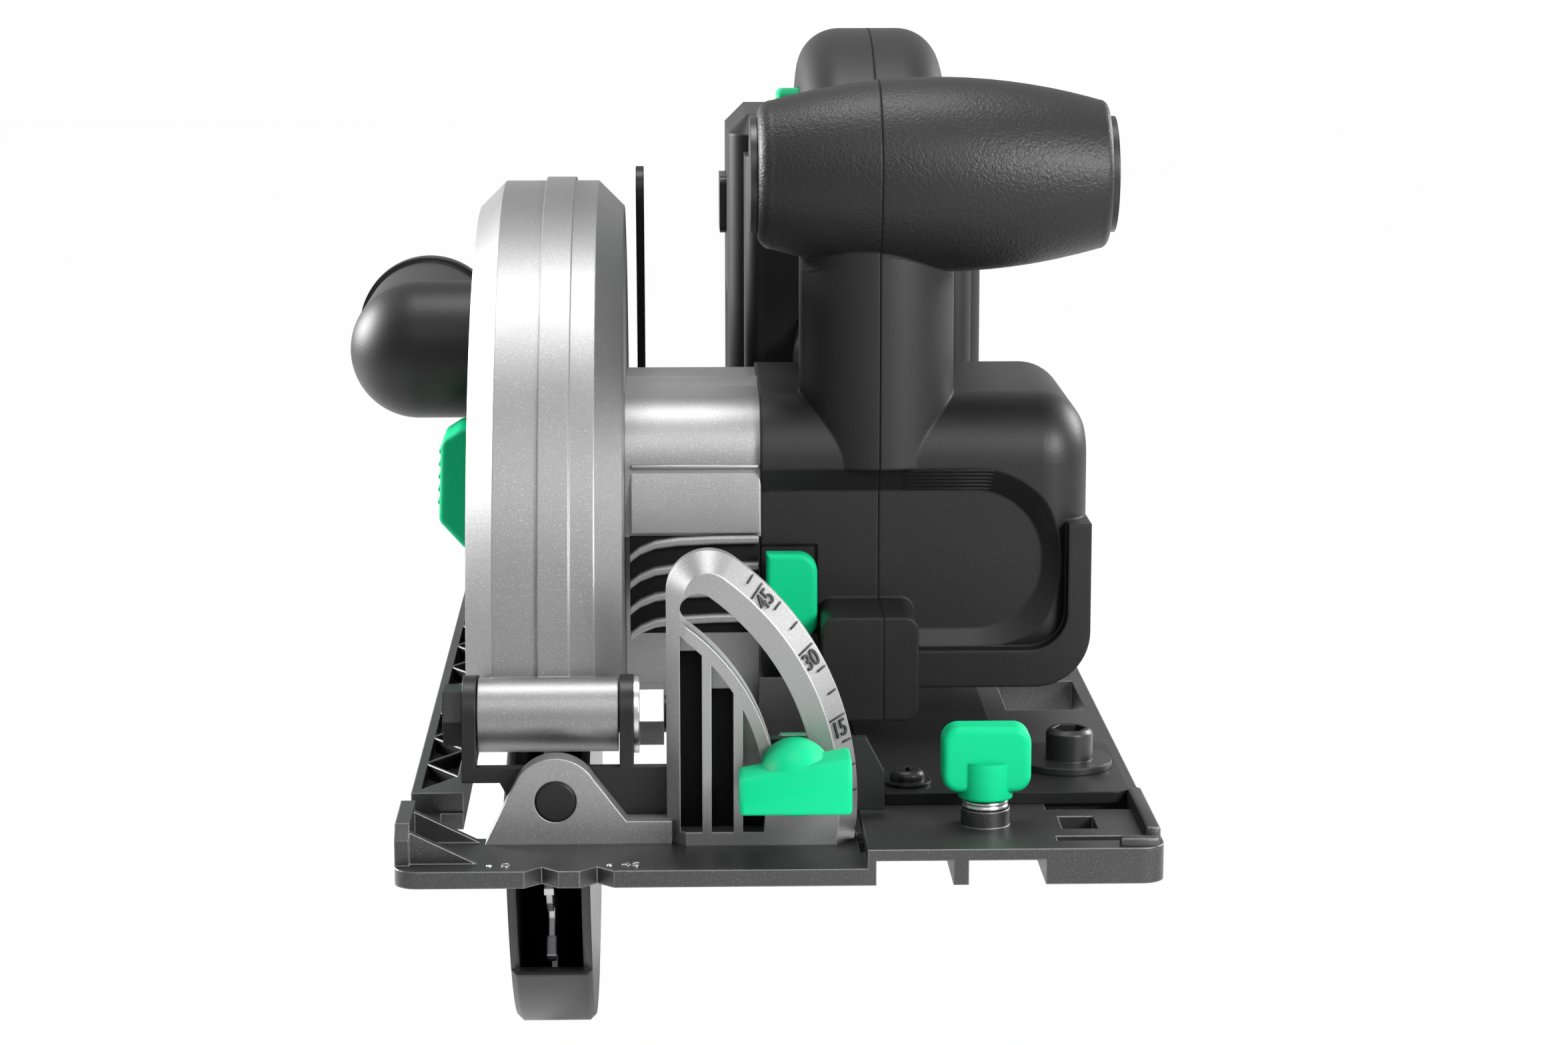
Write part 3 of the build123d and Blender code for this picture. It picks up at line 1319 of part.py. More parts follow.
with BuildPart() as grip_caps:
    for plate_start, plug_start in (
        (grip_left - seat_gap - cap_thickness, grip_left - seat_gap - 0.1),
        (grip_right + seat_gap, grip_right + seat_gap + 0.1 - cap_plug),
    ):
        ring(plate_start, plate_start + cap_thickness, cap_radius, 0, (grip_y, grip_z))
        ring(plug_start, plug_start + cap_plug, cap_plug_radius, 0, (grip_y, grip_z))
keep(grip_caps, "grip_end_caps")

# Controls: switch trigger, lock-off button and shaft lock
with BuildPart() as trigger:
    with BuildSketch(side_plane(motor_seam - trigger_width / 2)):
        with BuildLine():
            trigger_front = trigger_y - trigger_length / 2
            trigger_rear = trigger_y + trigger_length / 2
            heel = (trigger_rear, trigger_floor + 1)
            toe = (trigger_front, trigger_floor)
            ThreePointArc(toe, (trigger_y, trigger_floor + 3), heel)
            Polyline(heel, (trigger_rear, trigger_top), (trigger_front, trigger_top), toe)
        make_face()
    extrude(amount=trigger_width)
    fillet(trigger.edges().filter_by(GeomType.CIRCLE), radius=2.5)
keep(trigger, "trigger")

with BuildPart() as switch_body:
    with Locations(((switch_left + switch_right) / 2, trigger_y + 4, switch_floor + switch_height / 2)):
        Box(switch_right - switch_left, switch_length, switch_height)
keep(switch_body, "switch_body")

with BuildPart() as lock_off:
    with BuildSketch(side_plane(handle_left - lockoff_proud)):
        with Locations((lockoff_y, lockoff_z)):
            RectangleRounded(lockoff_size[0], lockoff_size[1], 2.5)
    extrude(amount=lockoff_proud + lockoff_depth)
    fillet(lock_off.faces().sort_by(Axis.X)[0].edges(), radius=1.5)
keep(lock_off, "lock_off_button")

with BuildPart() as control_board:
    with Locations(board_place):
        Box(*board_size)
keep(control_board, "control_board")

with BuildPart() as terminals:
    with Locations(terminal_place):
        Box(*terminal_size)
keep(terminals, "terminal_block")

lock_pin_length = 11.0
with BuildPart() as lock_button:
    with BuildSketch(front_plane(lock_pad_rear)):
        with Locations(((lock_pad_left + lock_pad_right) / 2, (lock_pad_floor + lock_pad_top) / 2)):
            Rectangle(lock_pad_right - lock_pad_left, lock_pad_top - lock_pad_floor)
    extrude(amount=lock_pad_rear - lock_pad_front)
    right_corners = lock_button.edges().filter_by(Axis.Y).sort_by(Axis.X)[-2:]
    fillet(right_corners, radius=4.5)
    fillet(lock_button.faces().sort_by(Axis.Y)[0].edges(), radius=1.2)
keep(lock_button, "shaft_lock_button")

with BuildPart() as lock_pin:
    with BuildSketch(front_plane(lock_pad_rear + seat_gap)):
        with Locations((lock_pin_x, lock_pin_z)):
            Circle(lock_pin_radius + 2.0)
    extrude(amount=-1.2)
    with BuildSketch(front_plane(lock_pad_rear + seat_gap)):
        with Locations((lock_pin_x, lock_pin_z)):
            Circle(lock_pin_radius)
    extrude(amount=-lock_pin_length)
keep(lock_pin, "shaft_lock_pin")

# Depth clamp: a bolt through the guard lug and the slotted arm, closed by a lever
lever_start = arm_x + depth_arm_thickness + running_gap
lever_thick = 8.0
lever_length = 40.0
lever_lean = 75.0
with BuildPart() as clamp_bolt:
    ring(half_inner - seat_gap - 2.4, half_inner - seat_gap, 5.0, 0, clamp_place)
    ring(half_inner - seat_gap - 0.1, lever_start + lever_thick - 0.5, clamp_bolt_radius, 0, clamp_place)
keep(clamp_bolt, "depth_clamp_bolt")

with BuildPart() as depth_lever:
    ring(lever_start, lever_start + lever_thick, 8.0, 0, clamp_place)
    lever_tip = polar(clamp_place, lever_length, lever_lean)
    with BuildSketch(side_plane(lever_start + 2.5)):
        with Locations(clamp_place):
            Circle(6.5)
        with Locations(lever_tip):
            Circle(5.0)
        make_hull()
    extrude(amount=lever_thick - 2.5)
    fillet(depth_lever.faces().sort_by(Axis.X)[-1].edges(), radius=1.5)
    lever_end = lever_start + lever_thick + 1
    ring(lever_start - 1, lever_end, clamp_bolt_radius + pin_gap, 0, clamp_place, Mode.SUBTRACT)
keep(depth_lever, "depth_lever")

# Dust outlet: a plug in the guard wall, a round elbow and a straight tube towards the rear
dust_tube = 54.0
dust_elbow_reach = 19.45
dust_start = -guard_half_width - seat_gap
dust_axis_x = dust_start - dust_elbow_reach
plug_radius = dust_neck_radius - dust_wall - seat_gap
with BuildPart() as dust_port:
    for radius, neck_start, mode in (
        (dust_radius, dust_start, Mode.ADD),
        (dust_radius - dust_wall, dust_start - dust_wall, Mode.SUBTRACT),
    ):
        with BuildSketch(side_plane(dust_axis_x)):
            with Locations(dust_place):
                Circle(radius)
        extrude(amount=neck_start - dust_axis_x, mode=mode)
        with Locations((dust_axis_x, dust_place[0], dust_place[1])):
            Sphere(radius, mode=mode)
        with BuildSketch(front_plane(dust_place[0])):
            with Locations((dust_axis_x, dust_place[1])):
                Circle(radius)
        extrude(amount=-dust_tube, mode=mode)
    with BuildSketch(front_plane(dust_place[0] + dust_tube - 9.0)):
        with Locations((dust_axis_x, dust_place[1])):
            Circle(dust_radius + 1.2)
            Circle(dust_radius - 1.0, mode=Mode.SUBTRACT)
    extrude(amount=-5.0)
    plug_end = dust_start + guard_wall
    ring(dust_start - 1.0, plug_end, plug_radius, 0, dust_place)
    plug_bore = plug_radius - dust_wall
    ring(dust_start - dust_wall - 1.0, plug_end + 1.0, plug_bore, 0, dust_place, Mode.SUBTRACT)
keep(dust_port, "dust_port")

# Lower guard: lifting lever, retaining ring and return spring
lever_front = 28.0
lever_rear = 50.0
lever_seat_x = -lower_half - seat_gap
with BuildPart() as guard_lever:
    with BuildSketch(front_plane(lever_rear)):
        with BuildLine():
            Polyline(
                (lever_seat_x, 67.0), (-24.5, 69.0), (-29.2, 66.0), (-30.0, 46.0), (-20.5, 35.5),
                (lever_seat_x, 36.5), close=True,
            )
        make_face()
    extrude(amount=lever_rear - lever_front)
    fillet(guard_lever.edges().filter_by(Axis.Y).sort_by(Axis.X)[:4], radius=2.5)
    fillet(guard_lever.faces().sort_by(Axis.Y)[0].edges().sort_by(Axis.X)[:6], radius=1.5)
keep(guard_lever, "guard_lever")

with BuildPart() as retainer:
    ring(nose_start - seat_gap - 0.6, nose_start - seat_gap, nose_radius + 3.2, flange_radius + 1.0)
keep(retainer, "guard_retaining_ring")

spring_wire = 0.75
spring_end_gap = 0.5
spring_largest_pitch = 1.41
spring_first_x = lower_half + running_gap + spring_wire
spring_last_x = half_inner - spring_end_gap - spring_wire
spring_room = spring_last_x - spring_first_x
spring_turns = 1 + math.ceil(spring_room / spring_largest_pitch)
spring_pitch = spring_room / (spring_turns - 1)
with BuildPart() as guard_spring:
    with BuildSketch(front_plane(0)):
        spring_turn_z = arbor_z + nose_radius + seat_gap + spring_wire
        for turn in range(spring_turns):
            with Locations((spring_first_x + turn * spring_pitch, spring_turn_z)):
                Circle(spring_wire)
    revolve(axis=guard_axis)
keep(guard_spring, "guard_return_spring")

# Battery pack on the rail behind the handle, with two side latches
battery_left = 43.0
battery_right = 109.0
battery_front = foot_rear_y + running_gap
battery_rear = 136.0
battery_floor = 32.0
battery_top = 143.0
latch_y = 109.0
latch_z = 118.0
latch_size = (20.0, 15.0)
latch_depth = 4.0
latch_proud = 1.8
latch_travel = 2.4
groove_pitch = 9.0
with BuildPart() as battery_case:
    with BuildSketch(Plane.XY.offset(battery_floor)):
        with Locations(((battery_left + battery_right) / 2, (battery_front + battery_rear) / 2)):
            RectangleRounded(battery_right - battery_left, battery_rear - battery_front, 6)
    extrude(amount=battery_top - battery_floor)
    chamfer(battery_case.faces().sort_by(Axis.Z)[-1].edges(), length=5)
    with BuildSketch(Plane.XY.offset(battery_floor - 1)):
        with Locations((motor_seam, foot_rear_y + rail_neck / 2 - 1)):
            Rectangle(rail_width - 8 + 2 * running_gap, rail_neck + 2 + 2 * running_gap)
        with Locations((motor_seam, foot_rear_y + rail_neck + rail_head / 2)):
            Rectangle(rail_width + 2 * running_gap, rail_head + 2 * running_gap)
    extrude(amount=rail_top + running_gap - battery_floor + 1, mode=Mode.SUBTRACT)
    for side_x, inward in ((battery_left, 1), (battery_right, -1)):
        latch_room = latch_depth + latch_travel + 0.3
        with Locations((side_x + inward * latch_room / 2, latch_y, latch_z)):
            latch_pocket = [size + 2 * running_gap for size in latch_size]
            Box(latch_room, *latch_pocket, mode=Mode.SUBTRACT)
        for groove in range(5):
            with Locations((side_x, battery_front + 10 + groove * groove_pitch, 68.0)):
                Box(3.0, 3.4, 56.0, mode=Mode.SUBTRACT)
keep(battery_case, "battery_case")

for latch_name, latch_start in (
    ("battery_latch_left", battery_left - latch_proud),
    ("battery_latch_right", battery_right - latch_depth),
):
    with BuildPart() as latch:
        with Locations((latch_start + (latch_depth + latch_proud) / 2, latch_y, latch_z)):
            Box(latch_depth + latch_proud, latch_size[0], latch_size[1])
        fillet(latch.edges().filter_by(Axis.X), radius=2.0)
    keep(latch, latch_name)
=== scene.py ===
# %% [markdown]
# # A circular saw, finished for the camera
# The saw arrives as exact solids: castings, shells, guards, knobs and a blade, each already
# riding on the body that moves it. Their meshes stay as they are, and only one knob is replaced by
# a richer one. This lesson gives every surface a finish, adds the small relief that a solid
# modeller leaves out, and lights the result.

# %% Load the frame
import bpy
import bmesh
import math
from mathutils import Matrix, Vector


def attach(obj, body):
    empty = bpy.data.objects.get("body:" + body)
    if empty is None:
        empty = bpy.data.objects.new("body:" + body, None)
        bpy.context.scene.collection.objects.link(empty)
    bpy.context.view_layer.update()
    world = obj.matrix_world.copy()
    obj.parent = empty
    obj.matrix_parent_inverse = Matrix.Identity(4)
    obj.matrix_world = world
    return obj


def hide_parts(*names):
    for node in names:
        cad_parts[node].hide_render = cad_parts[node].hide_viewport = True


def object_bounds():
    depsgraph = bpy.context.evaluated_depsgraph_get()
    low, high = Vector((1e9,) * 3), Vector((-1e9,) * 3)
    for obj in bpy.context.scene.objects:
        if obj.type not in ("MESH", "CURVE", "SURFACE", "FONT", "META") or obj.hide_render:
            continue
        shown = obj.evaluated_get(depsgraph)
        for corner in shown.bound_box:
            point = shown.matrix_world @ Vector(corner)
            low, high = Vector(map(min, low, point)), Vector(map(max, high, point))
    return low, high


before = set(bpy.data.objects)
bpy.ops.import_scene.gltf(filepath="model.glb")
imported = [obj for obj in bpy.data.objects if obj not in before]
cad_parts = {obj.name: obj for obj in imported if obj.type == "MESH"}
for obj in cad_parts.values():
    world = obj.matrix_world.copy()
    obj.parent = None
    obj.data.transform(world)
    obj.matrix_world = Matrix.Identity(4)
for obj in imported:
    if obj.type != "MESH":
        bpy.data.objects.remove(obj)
cad_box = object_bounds()


# %% Millimetres and metres
def mm(*values):
    """Millimetres on the drawing to metres in the scene."""
    return Vector([value / 1000 for value in values])


print("saw box", [[round(value * 1000) for value in corner] for corner in cad_box], "mm")

# %% [markdown]
# ## The camera
# The photograph is a straight front view from a little above. Its lens is long, so near and far
# edges keep almost the same size. The camera stands 0.9 m in front of the arbor and looks ten
# degrees down. A plain rotation is used instead of lens shift, because other views keep the shift.

# %% Camera
PHOTO_WIDTH = 2352
FOCAL_PIXELS = 5690
SENSOR_WIDTH = 36
CAMERA_PLACE = mm(27.2, -903.6, 213.3)
# in radians
LOOK_DOWN, LOOK_RIGHT = 0.1783, 0.0309
camera_data = bpy.data.cameras.new("front_camera")
camera_data.sensor_width = SENSOR_WIDTH
camera_data.lens = SENSOR_WIDTH * FOCAL_PIXELS / PHOTO_WIDTH
camera = bpy.data.objects.new("front_camera", camera_data)
camera.location = CAMERA_PLACE
camera.rotation_euler = (math.pi / 2 - LOOK_DOWN, 0, -LOOK_RIGHT)
bpy.context.collection.objects.link(camera)
bpy.context.scene.camera = camera
bpy.context.scene.view_settings.view_transform = "Standard"
print("lens", round(camera_data.lens, 1), "mm")

# %% [markdown]
# ## The studio
# The saw stands on white with soft light from both sides, so every rounded edge carries a pale
# rim. Large area lamps give that rim. The world is white to the camera and a pale grey to
# reflections. What it adds to the diffuse light is much lower, so black plastic stays black.
#
# World, floor and finishes are small networks of nodes. One helper makes a node, sets it and
# connects it, so that a network reads as a list of steps. A second one asks what kind of ray it is.


# %% Helpers for nodes
def add_node(tree, kind, inputs=None, **settings):
    """A shader node. Settings are its own options, an input is a value or another node's output."""
    node = tree.nodes.new("ShaderNode" + kind)
    for name, value in settings.items():
        setattr(node, name, value)
    for key, value in (inputs or {}).items():
        if isinstance(value, bpy.types.NodeSocket):
            tree.links.new(value, node.inputs[key])
        else:
            node.inputs[key].default_value = value
    return node


def ray_share(tree, shares):
    """The largest share among the named kinds of ray, and 0 for any other ray."""
    kinds = add_node(tree, "LightPath").outputs
    largest = None
    for kind, share in shares.items():
        part = add_node(tree, "Math", {0: kinds[kind], 1: share}, operation="MULTIPLY").outputs[0]
        if largest is not None:
            part = add_node(tree, "Math", {0: largest, 1: part}, operation="MAXIMUM").outputs[0]
        largest = part
    return largest


# %% World
WORLD_SHARES = {"Is Camera Ray": 1.0, "Is Transmission Ray": 1.0, "Is Glossy Ray": 0.55}
WORLD_DIFFUSE = 0.10
world = bpy.data.worlds.new("studio")
bpy.context.scene.world = world
world.use_nodes = True
tree = world.node_tree
white = ray_share(tree, WORLD_SHARES)
strength = add_node(tree, "MapRange", {"Value": white, "To Min": WORLD_DIFFUSE, "To Max": 1.0})
background = tree.nodes["Background"]
background.inputs["Color"].default_value = (1, 1, 1, 1)
tree.links.new(strength.outputs[0], background.inputs["Strength"])
print("world adds", WORLD_DIFFUSE, "to diffuse light")

# %% Lamps
# name, place, aim and size in millimetres, power in watts
lamps = (
    ("front", (60, -700, 700), (60, -110, 30), 360, 1.5),
    ("rim_left", (-640, 330, 300), (-40, 0, 90), 320, 13.0),
    ("rim_right", (700, 340, 360), (60, 0, 70), 300, 6.0),
    ("fill_right", (560, -640, 400), (40, -60, 80), 300, 10.5),
    ("top", (20, 40, 860), (20, 0, 60), 300, 4.2),
)
for name, place, aim, size, power in lamps:
    lamp_data = bpy.data.lights.new(name, "AREA")
    lamp_data.shape = "SQUARE"
    lamp_data.size = size / 1000
    lamp_data.energy = power
    lamp = bpy.data.objects.new(name, lamp_data)
    lamp.location = mm(*place)
    lamp.rotation_euler = (mm(*aim) - mm(*place)).to_track_quat("-Z", "Y").to_euler()
    bpy.context.collection.objects.link(lamp)
print("lamps", len(lamps))

# %% [markdown]
# ## The floor
# The ground is seamless white paper. Lamps strong enough to make paper that white would wash out
# the saw, so the paper glows by itself for the camera and keeps only a trace of its shading.
# In reflections it is darker, because metal close to the ground mirrors a lot of it.

# %% Floor sheet
# in metres
FLOOR_HALF = 3.0
FLOOR_GAP = 0.0005
floor_mesh = bpy.data.meshes.new("floor")
floor_shape = bmesh.new()
bmesh.ops.create_grid(floor_shape, x_segments=1, y_segments=1, size=FLOOR_HALF)
bmesh.ops.translate(floor_shape, verts=floor_shape.verts, vec=(0, 0, cad_box[0][2] - FLOOR_GAP))
floor_shape.to_mesh(floor_mesh)
floor_shape.free()
floor = bpy.data.objects.new("floor", floor_mesh)
bpy.context.collection.objects.link(floor)
print("floor at", round(floor_mesh.vertices[0].co.z * 1000, 1), "mm")

# %% Floor paper
FLOOR_SHARES = {"Is Camera Ray": 0.985, "Is Glossy Ray": 0.36}
PAPER_COLOUR = (0.86, 0.86, 0.86, 1)
PAPER_ROUGHNESS = 0.9
floor_white = bpy.data.materials.new("floor_white")
floor_white.use_nodes = True
tree = floor_white.node_tree
paper = tree.nodes["Principled BSDF"]
paper.inputs["Base Color"].default_value = PAPER_COLOUR
paper.inputs["Roughness"].default_value = PAPER_ROUGHNESS
glow = add_node(tree, "Emission", {"Strength": 1.0})
white = ray_share(tree, FLOOR_SHARES)
mix = add_node(tree, "MixShader", {"Fac": white, 1: paper.outputs[0], 2: glow.outputs[0]})
tree.links.new(mix.outputs[0], tree.nodes["Material Output"].inputs["Surface"])
floor_mesh.materials.append(floor_white)
print("floor glows", FLOOR_SHARES["Is Camera Ray"], "for the camera")

# %% [markdown]
# ## Finishes
# A finish on this saw is a colour that drifts a little, a roughness that is never quite even, and
# a fine relief: sand from a casting mould, the grain of a moulded grip or the lines of a turned
# face. A few helpers make them from noise in object space, and each finish states its own sizes in
# millimetres. The metallic share and the specular level are set on the shader itself.

# %% Colour and grain
# the scale counts waves of noise in a metre
DRIFT_SCALE, DRIFT_DETAIL = 45, 4
GRAIN_DETAIL = 3
CELL_SMOOTHNESS = 0.6


def add_drift(tree, cloud, colour, drift):
    """A colour that wanders between a darker and a lighter tone."""
    darker = [max(0, value - drift) for value in colour]
    lighter = [value + drift for value in colour]
    tint = add_node(tree, "Mix", {"Factor": cloud, "A": (*darker, 1), "B": (*lighter, 1)},
                    data_type="RGBA")
    return tint.outputs["Result"]


def add_grain(tree, place, grain_mm, cells):
    """The height of a fine relief: round cells as in a moulding, or noise as in a casting."""
    scale = 1000 / grain_mm
    if cells:
        cell_inputs = {"Vector": place, "Scale": scale, "Smoothness": CELL_SMOOTHNESS}
        return add_node(tree, "TexVoronoi", cell_inputs, feature="SMOOTH_F1").outputs["Distance"]
    noise_inputs = {"Vector": place, "Scale": scale, "Detail": GRAIN_DETAIL}
    return add_node(tree, "TexNoise", noise_inputs).outputs["Fac"]


# %% [markdown]
# ## Soft edges, wear and painted highlights
# Solids from a drawing have knife edges, and nothing cast or moulded does. The Bevel node bends the
# normal close to an edge, so light catches there as on a real radius. Where that bent normal leaves
# the flat one, the same comparison lightens the colour of metal: partly as worn paint on the edge,
# partly as a painted highlight along it.

# %% Worn edges with painted highlights, and metal flakes
BARE_METAL_AND_HIGHLIGHT = (0.62, 0.62, 0.62, 1)
WEAR_AND_HIGHLIGHT_START, WEAR_AND_HIGHLIGHT_FULL = 0.995, 0.80
CREST_START, CREST_FULL = 0.58, 0.74


def add_wear(tree, soft_normal, colour, wear_and_highlight):
    """Lighter colour where the softened normal leaves the flat one, up to the given share: partly worn
    paint, partly a painted highlight on the edge.
    """
    flat = add_node(tree, "NewGeometry")
    agree = add_node(tree, "VectorMath", {0: soft_normal, 1: flat.outputs["Normal"]},
                     operation="DOT_PRODUCT")
    edge_share = add_node(tree, "MapRange", {"Value": agree.outputs["Value"], "From Min": WEAR_AND_HIGHLIGHT_START,
                                       "From Max": WEAR_AND_HIGHLIGHT_FULL, "To Max": wear_and_highlight})
    worn_and_highlit = add_node(tree, "Mix", {"Factor": edge_share.outputs[0], "A": colour, "B": BARE_METAL_AND_HIGHLIGHT},
                    data_type="RGBA")
    return worn_and_highlit.outputs["Result"]


def add_flakes(tree, grain, colour, speck):
    """Bright specks on the crests of the grain, as in metallic paint."""
    crest = add_node(tree, "MapRange", {"Value": grain, "From Min": CREST_START,
                                        "From Max": CREST_FULL})
    flakes = add_node(tree, "Mix", {"Factor": crest.outputs[0], "A": colour,
                                    "B": (speck, speck, speck, 1)},
                      data_type="RGBA", blend_type="ADD")
    return flakes.outputs["Result"]


# %% [markdown]
# ## The skin of the front grip
# The front grip has a wrinkled skin that the rest of its shell lacks, although both are one
# moulding. The grip is round about a line along X, so the wrinkles are faded out beyond a distance
# from that line, and no second material is needed.

# %% A skin inside a round zone
GRIP_Y, GRIP_Z, GRIP_RADIUS = -28.0, 137.0, 22.3
SKIN_FADE = 0.4
SKIN_GRAIN, SKIN_DEPTH = 0.8, 0.28
SKIN_DETAIL, SKIN_TWIST, SKIN_STRENGTH = 1.5, 0.6, 0.55


def add_skin(tree, position, normal):
    """Relief of fine wrinkles, only within the grip's radius of its axis."""
    off_axis = add_node(tree, "VectorMath", {0: position, 1: (0, 1, 1), 2: mm(0, -GRIP_Y, -GRIP_Z)},
                        operation="MULTIPLY_ADD")
    distance = add_node(tree, "VectorMath", {0: off_axis.outputs[0]}, operation="LENGTH")
    zone = add_node(tree, "MapRange", {"Value": distance.outputs["Value"],
                                       "From Min": (GRIP_RADIUS + SKIN_FADE) / 1000,
                                       "From Max": GRIP_RADIUS / 1000})
    wrinkles = add_node(tree, "TexNoise", {"Vector": position, "Scale": 1000 / SKIN_GRAIN,
                                           "Detail": SKIN_DETAIL, "Distortion": SKIN_TWIST})
    height = add_node(tree, "Math", {0: wrinkles.outputs["Fac"], 1: zone.outputs[0]},
                      operation="MULTIPLY")
    bump = add_node(tree, "Bump", {"Height": height.outputs[0], "Normal": normal,
                                   "Strength": SKIN_STRENGTH, "Distance": SKIN_DEPTH / 1000})
    return bump.outputs[0]


# %% [markdown]
# ## From helpers to a finish
# One function puts the steps together, so that each finish below is a line or two of numbers: its
# colour and drift, its roughness and drift, the size and strength of its grain, and what it has
# besides. Two pieces in one finish then differ only in their shape, as they would from one paint.

# %% A helper for finishes
EDGE_SAMPLES = 4


def finish(name, colour, drift, rough, rough_drift, grain_mm, relief, metal=0.0, depth_mm=0.1,
           cells=False, specular=0.5, stretch=(1, 1, 1), speck=0.0, edge_mm=0.45, wear_and_highlight=0.0,
           skin=False):
    """A surface: drifting colour, uneven gloss and a fine relief of the given grain size."""
    material = bpy.data.materials.new(name)
    material.use_nodes = True
    tree = material.node_tree
    shader = tree.nodes["Principled BSDF"]
    shader.inputs["Metallic"].default_value = metal
    shader.inputs["Specular IOR Level"].default_value = specular
    position = add_node(tree, "TexCoord").outputs["Object"]
    place = add_node(tree, "Mapping", {"Vector": position, "Scale": stretch}).outputs[0]
    cloud = add_node(tree, "TexNoise", {"Vector": place, "Scale": DRIFT_SCALE,
                                        "Detail": DRIFT_DETAIL}).outputs["Fac"]
    gloss = add_node(tree, "MapRange", {"Value": cloud, "To Min": rough - rough_drift,
                                        "To Max": rough + rough_drift})
    grain = add_grain(tree, place, grain_mm, cells)
    soft_edge = add_node(tree, "Bevel", {"Radius": edge_mm / 1000}, samples=EDGE_SAMPLES).outputs[0]
    surface_colour = add_drift(tree, cloud, colour, drift)
    # edges lightened towards bare metal: partly wear, partly a painted highlight
    if wear_and_highlight:
        surface_colour = add_wear(tree, soft_edge, surface_colour, wear_and_highlight)
    if speck:
        surface_colour = add_flakes(tree, grain, surface_colour, speck)
    normal = add_node(tree, "Bump", {"Height": grain, "Normal": soft_edge, "Strength": relief,
                                     "Distance": depth_mm / 1000}).outputs[0]
    if skin:
        normal = add_skin(tree, position, normal)
    tree.links.new(surface_colour, shader.inputs["Base Color"])
    tree.links.new(gloss.outputs[0], shader.inputs["Roughness"])
    tree.links.new(normal, shader.inputs["Normal"])
    print("finish", name)
    return material


# %% [markdown]
# ## Metal
# The castings and the guard are painted in a silver that sparkles, the sole in a darker grey of the
# same kind. Paint with flakes is still paint, but it mirrors like rough metal, so a high metallic
# share with a middling roughness comes closest. Bare steel is smoother and has no flakes.

# %% Metal finishes
# the edge share lightens edges: partly wear, partly a painted highlight
silver_casting = finish("silver_casting", (0.28, 0.277, 0.28), drift=0.02, rough=0.48, rough_drift=0.05,
                        grain_mm=0.3, relief=0.5, metal=0.92, depth_mm=0.06, speck=0.16, wear_and_highlight=0.5)
guard_paint = finish("guard_paint", (0.235, 0.233, 0.235), drift=0.015, rough=0.44, rough_drift=0.04,
                     grain_mm=0.28, relief=0.45, metal=0.92, depth_mm=0.055, speck=0.16, wear_and_highlight=0.35)
sole_paint = finish("sole_paint", (0.066, 0.065, 0.066), drift=0.012, rough=0.42, rough_drift=0.05,
                    grain_mm=0.28, relief=0.55, metal=0.9, depth_mm=0.055, speck=0.09, wear_and_highlight=0.4)
# painted shade: the scale marks are the rim's own metal, coloured dark for their shadowed look
mark_painted_shade = finish("mark_painted_shade", (0.035, 0.035, 0.036), drift=0.006, rough=0.45, rough_drift=0.05,
                    grain_mm=0.3, relief=0.2, metal=0.8, depth_mm=0.04, edge_mm=0.12)
# painted highlight: the sight figures are the sole's casting, coloured bright silver for their glint
mark_highlight_metal = finish("mark_highlight_metal", (0.46, 0.458, 0.46), drift=0.03, rough=0.34, rough_drift=0.05,
                    grain_mm=0.3, relief=0.2, metal=1.0, depth_mm=0.04, edge_mm=0.15)
dark_plate = finish("dark_plate", (0.04, 0.04, 0.041), drift=0.006, rough=0.36, rough_drift=0.05,
                    grain_mm=0.5, relief=0.15, metal=0.7, edge_mm=1.6)
bright_steel = finish("bright_steel", (0.55, 0.55, 0.56), drift=0.03, rough=0.28, rough_drift=0.06,
                      grain_mm=0.35, relief=0.06, metal=1.0)
blade_steel = finish("blade_steel", (0.48, 0.48, 0.49), drift=0.03, rough=0.30, rough_drift=0.07,
                     grain_mm=0.5, relief=0.1, metal=1.0, stretch=(1, 1, 6))
black_steel = finish("black_steel", (0.02, 0.02, 0.021), drift=0.006, rough=0.40, rough_drift=0.06,
                     grain_mm=0.4, relief=0.1, metal=0.7)
copper_wire = finish("copper_wire", (0.60, 0.27, 0.12), drift=0.04, rough=0.35, rough_drift=0.06,
                     grain_mm=0.8, relief=0.3, metal=1.0)

# %% [markdown]
# ## Plastic
# The shells are a matt black moulding with a fine cell grain, and the controls a flat green that
# hardly shines. What reads as shadow in seams and deep gaps is a finish of its own, almost without
# gloss, because a real gap sends no light back.

# %% Plastic finishes
black_shell = finish("black_shell", (0.0062, 0.0059, 0.0059), drift=0.0015, rough=0.47,
                     rough_drift=0.05, grain_mm=0.5, relief=0.22, depth_mm=0.07, cells=True,
                     specular=0.35, edge_mm=0.9, skin=True)
black_smooth = finish("black_smooth", (0.007, 0.007, 0.0072), drift=0.002, rough=0.38, rough_drift=0.04,
                      grain_mm=0.4, relief=0.08)
green_plastic = finish("green_plastic", (0.0, 0.41, 0.175), drift=0.003, rough=0.50, rough_drift=0.05,
                       grain_mm=0.5, relief=0.1, depth_mm=0.06, specular=0.12, edge_mm=0.8)
board_green = finish("board_green", (0.01, 0.09, 0.04), drift=0.006, rough=0.4, rough_drift=0.05,
                     grain_mm=1.5, relief=0.1)
shadow_line = finish("shadow_line", (0.0022, 0.0022, 0.0023), drift=0.0008, rough=0.75,
                     rough_drift=0.05, grain_mm=0.5, relief=0.05, specular=0.15)

# %% [markdown]
# ## Dressing the solids
# Each solid keeps its mesh, and only the material in its slot changes. One table from finish to
# pieces shows at a glance which parts share a paint, a plastic or a steel.

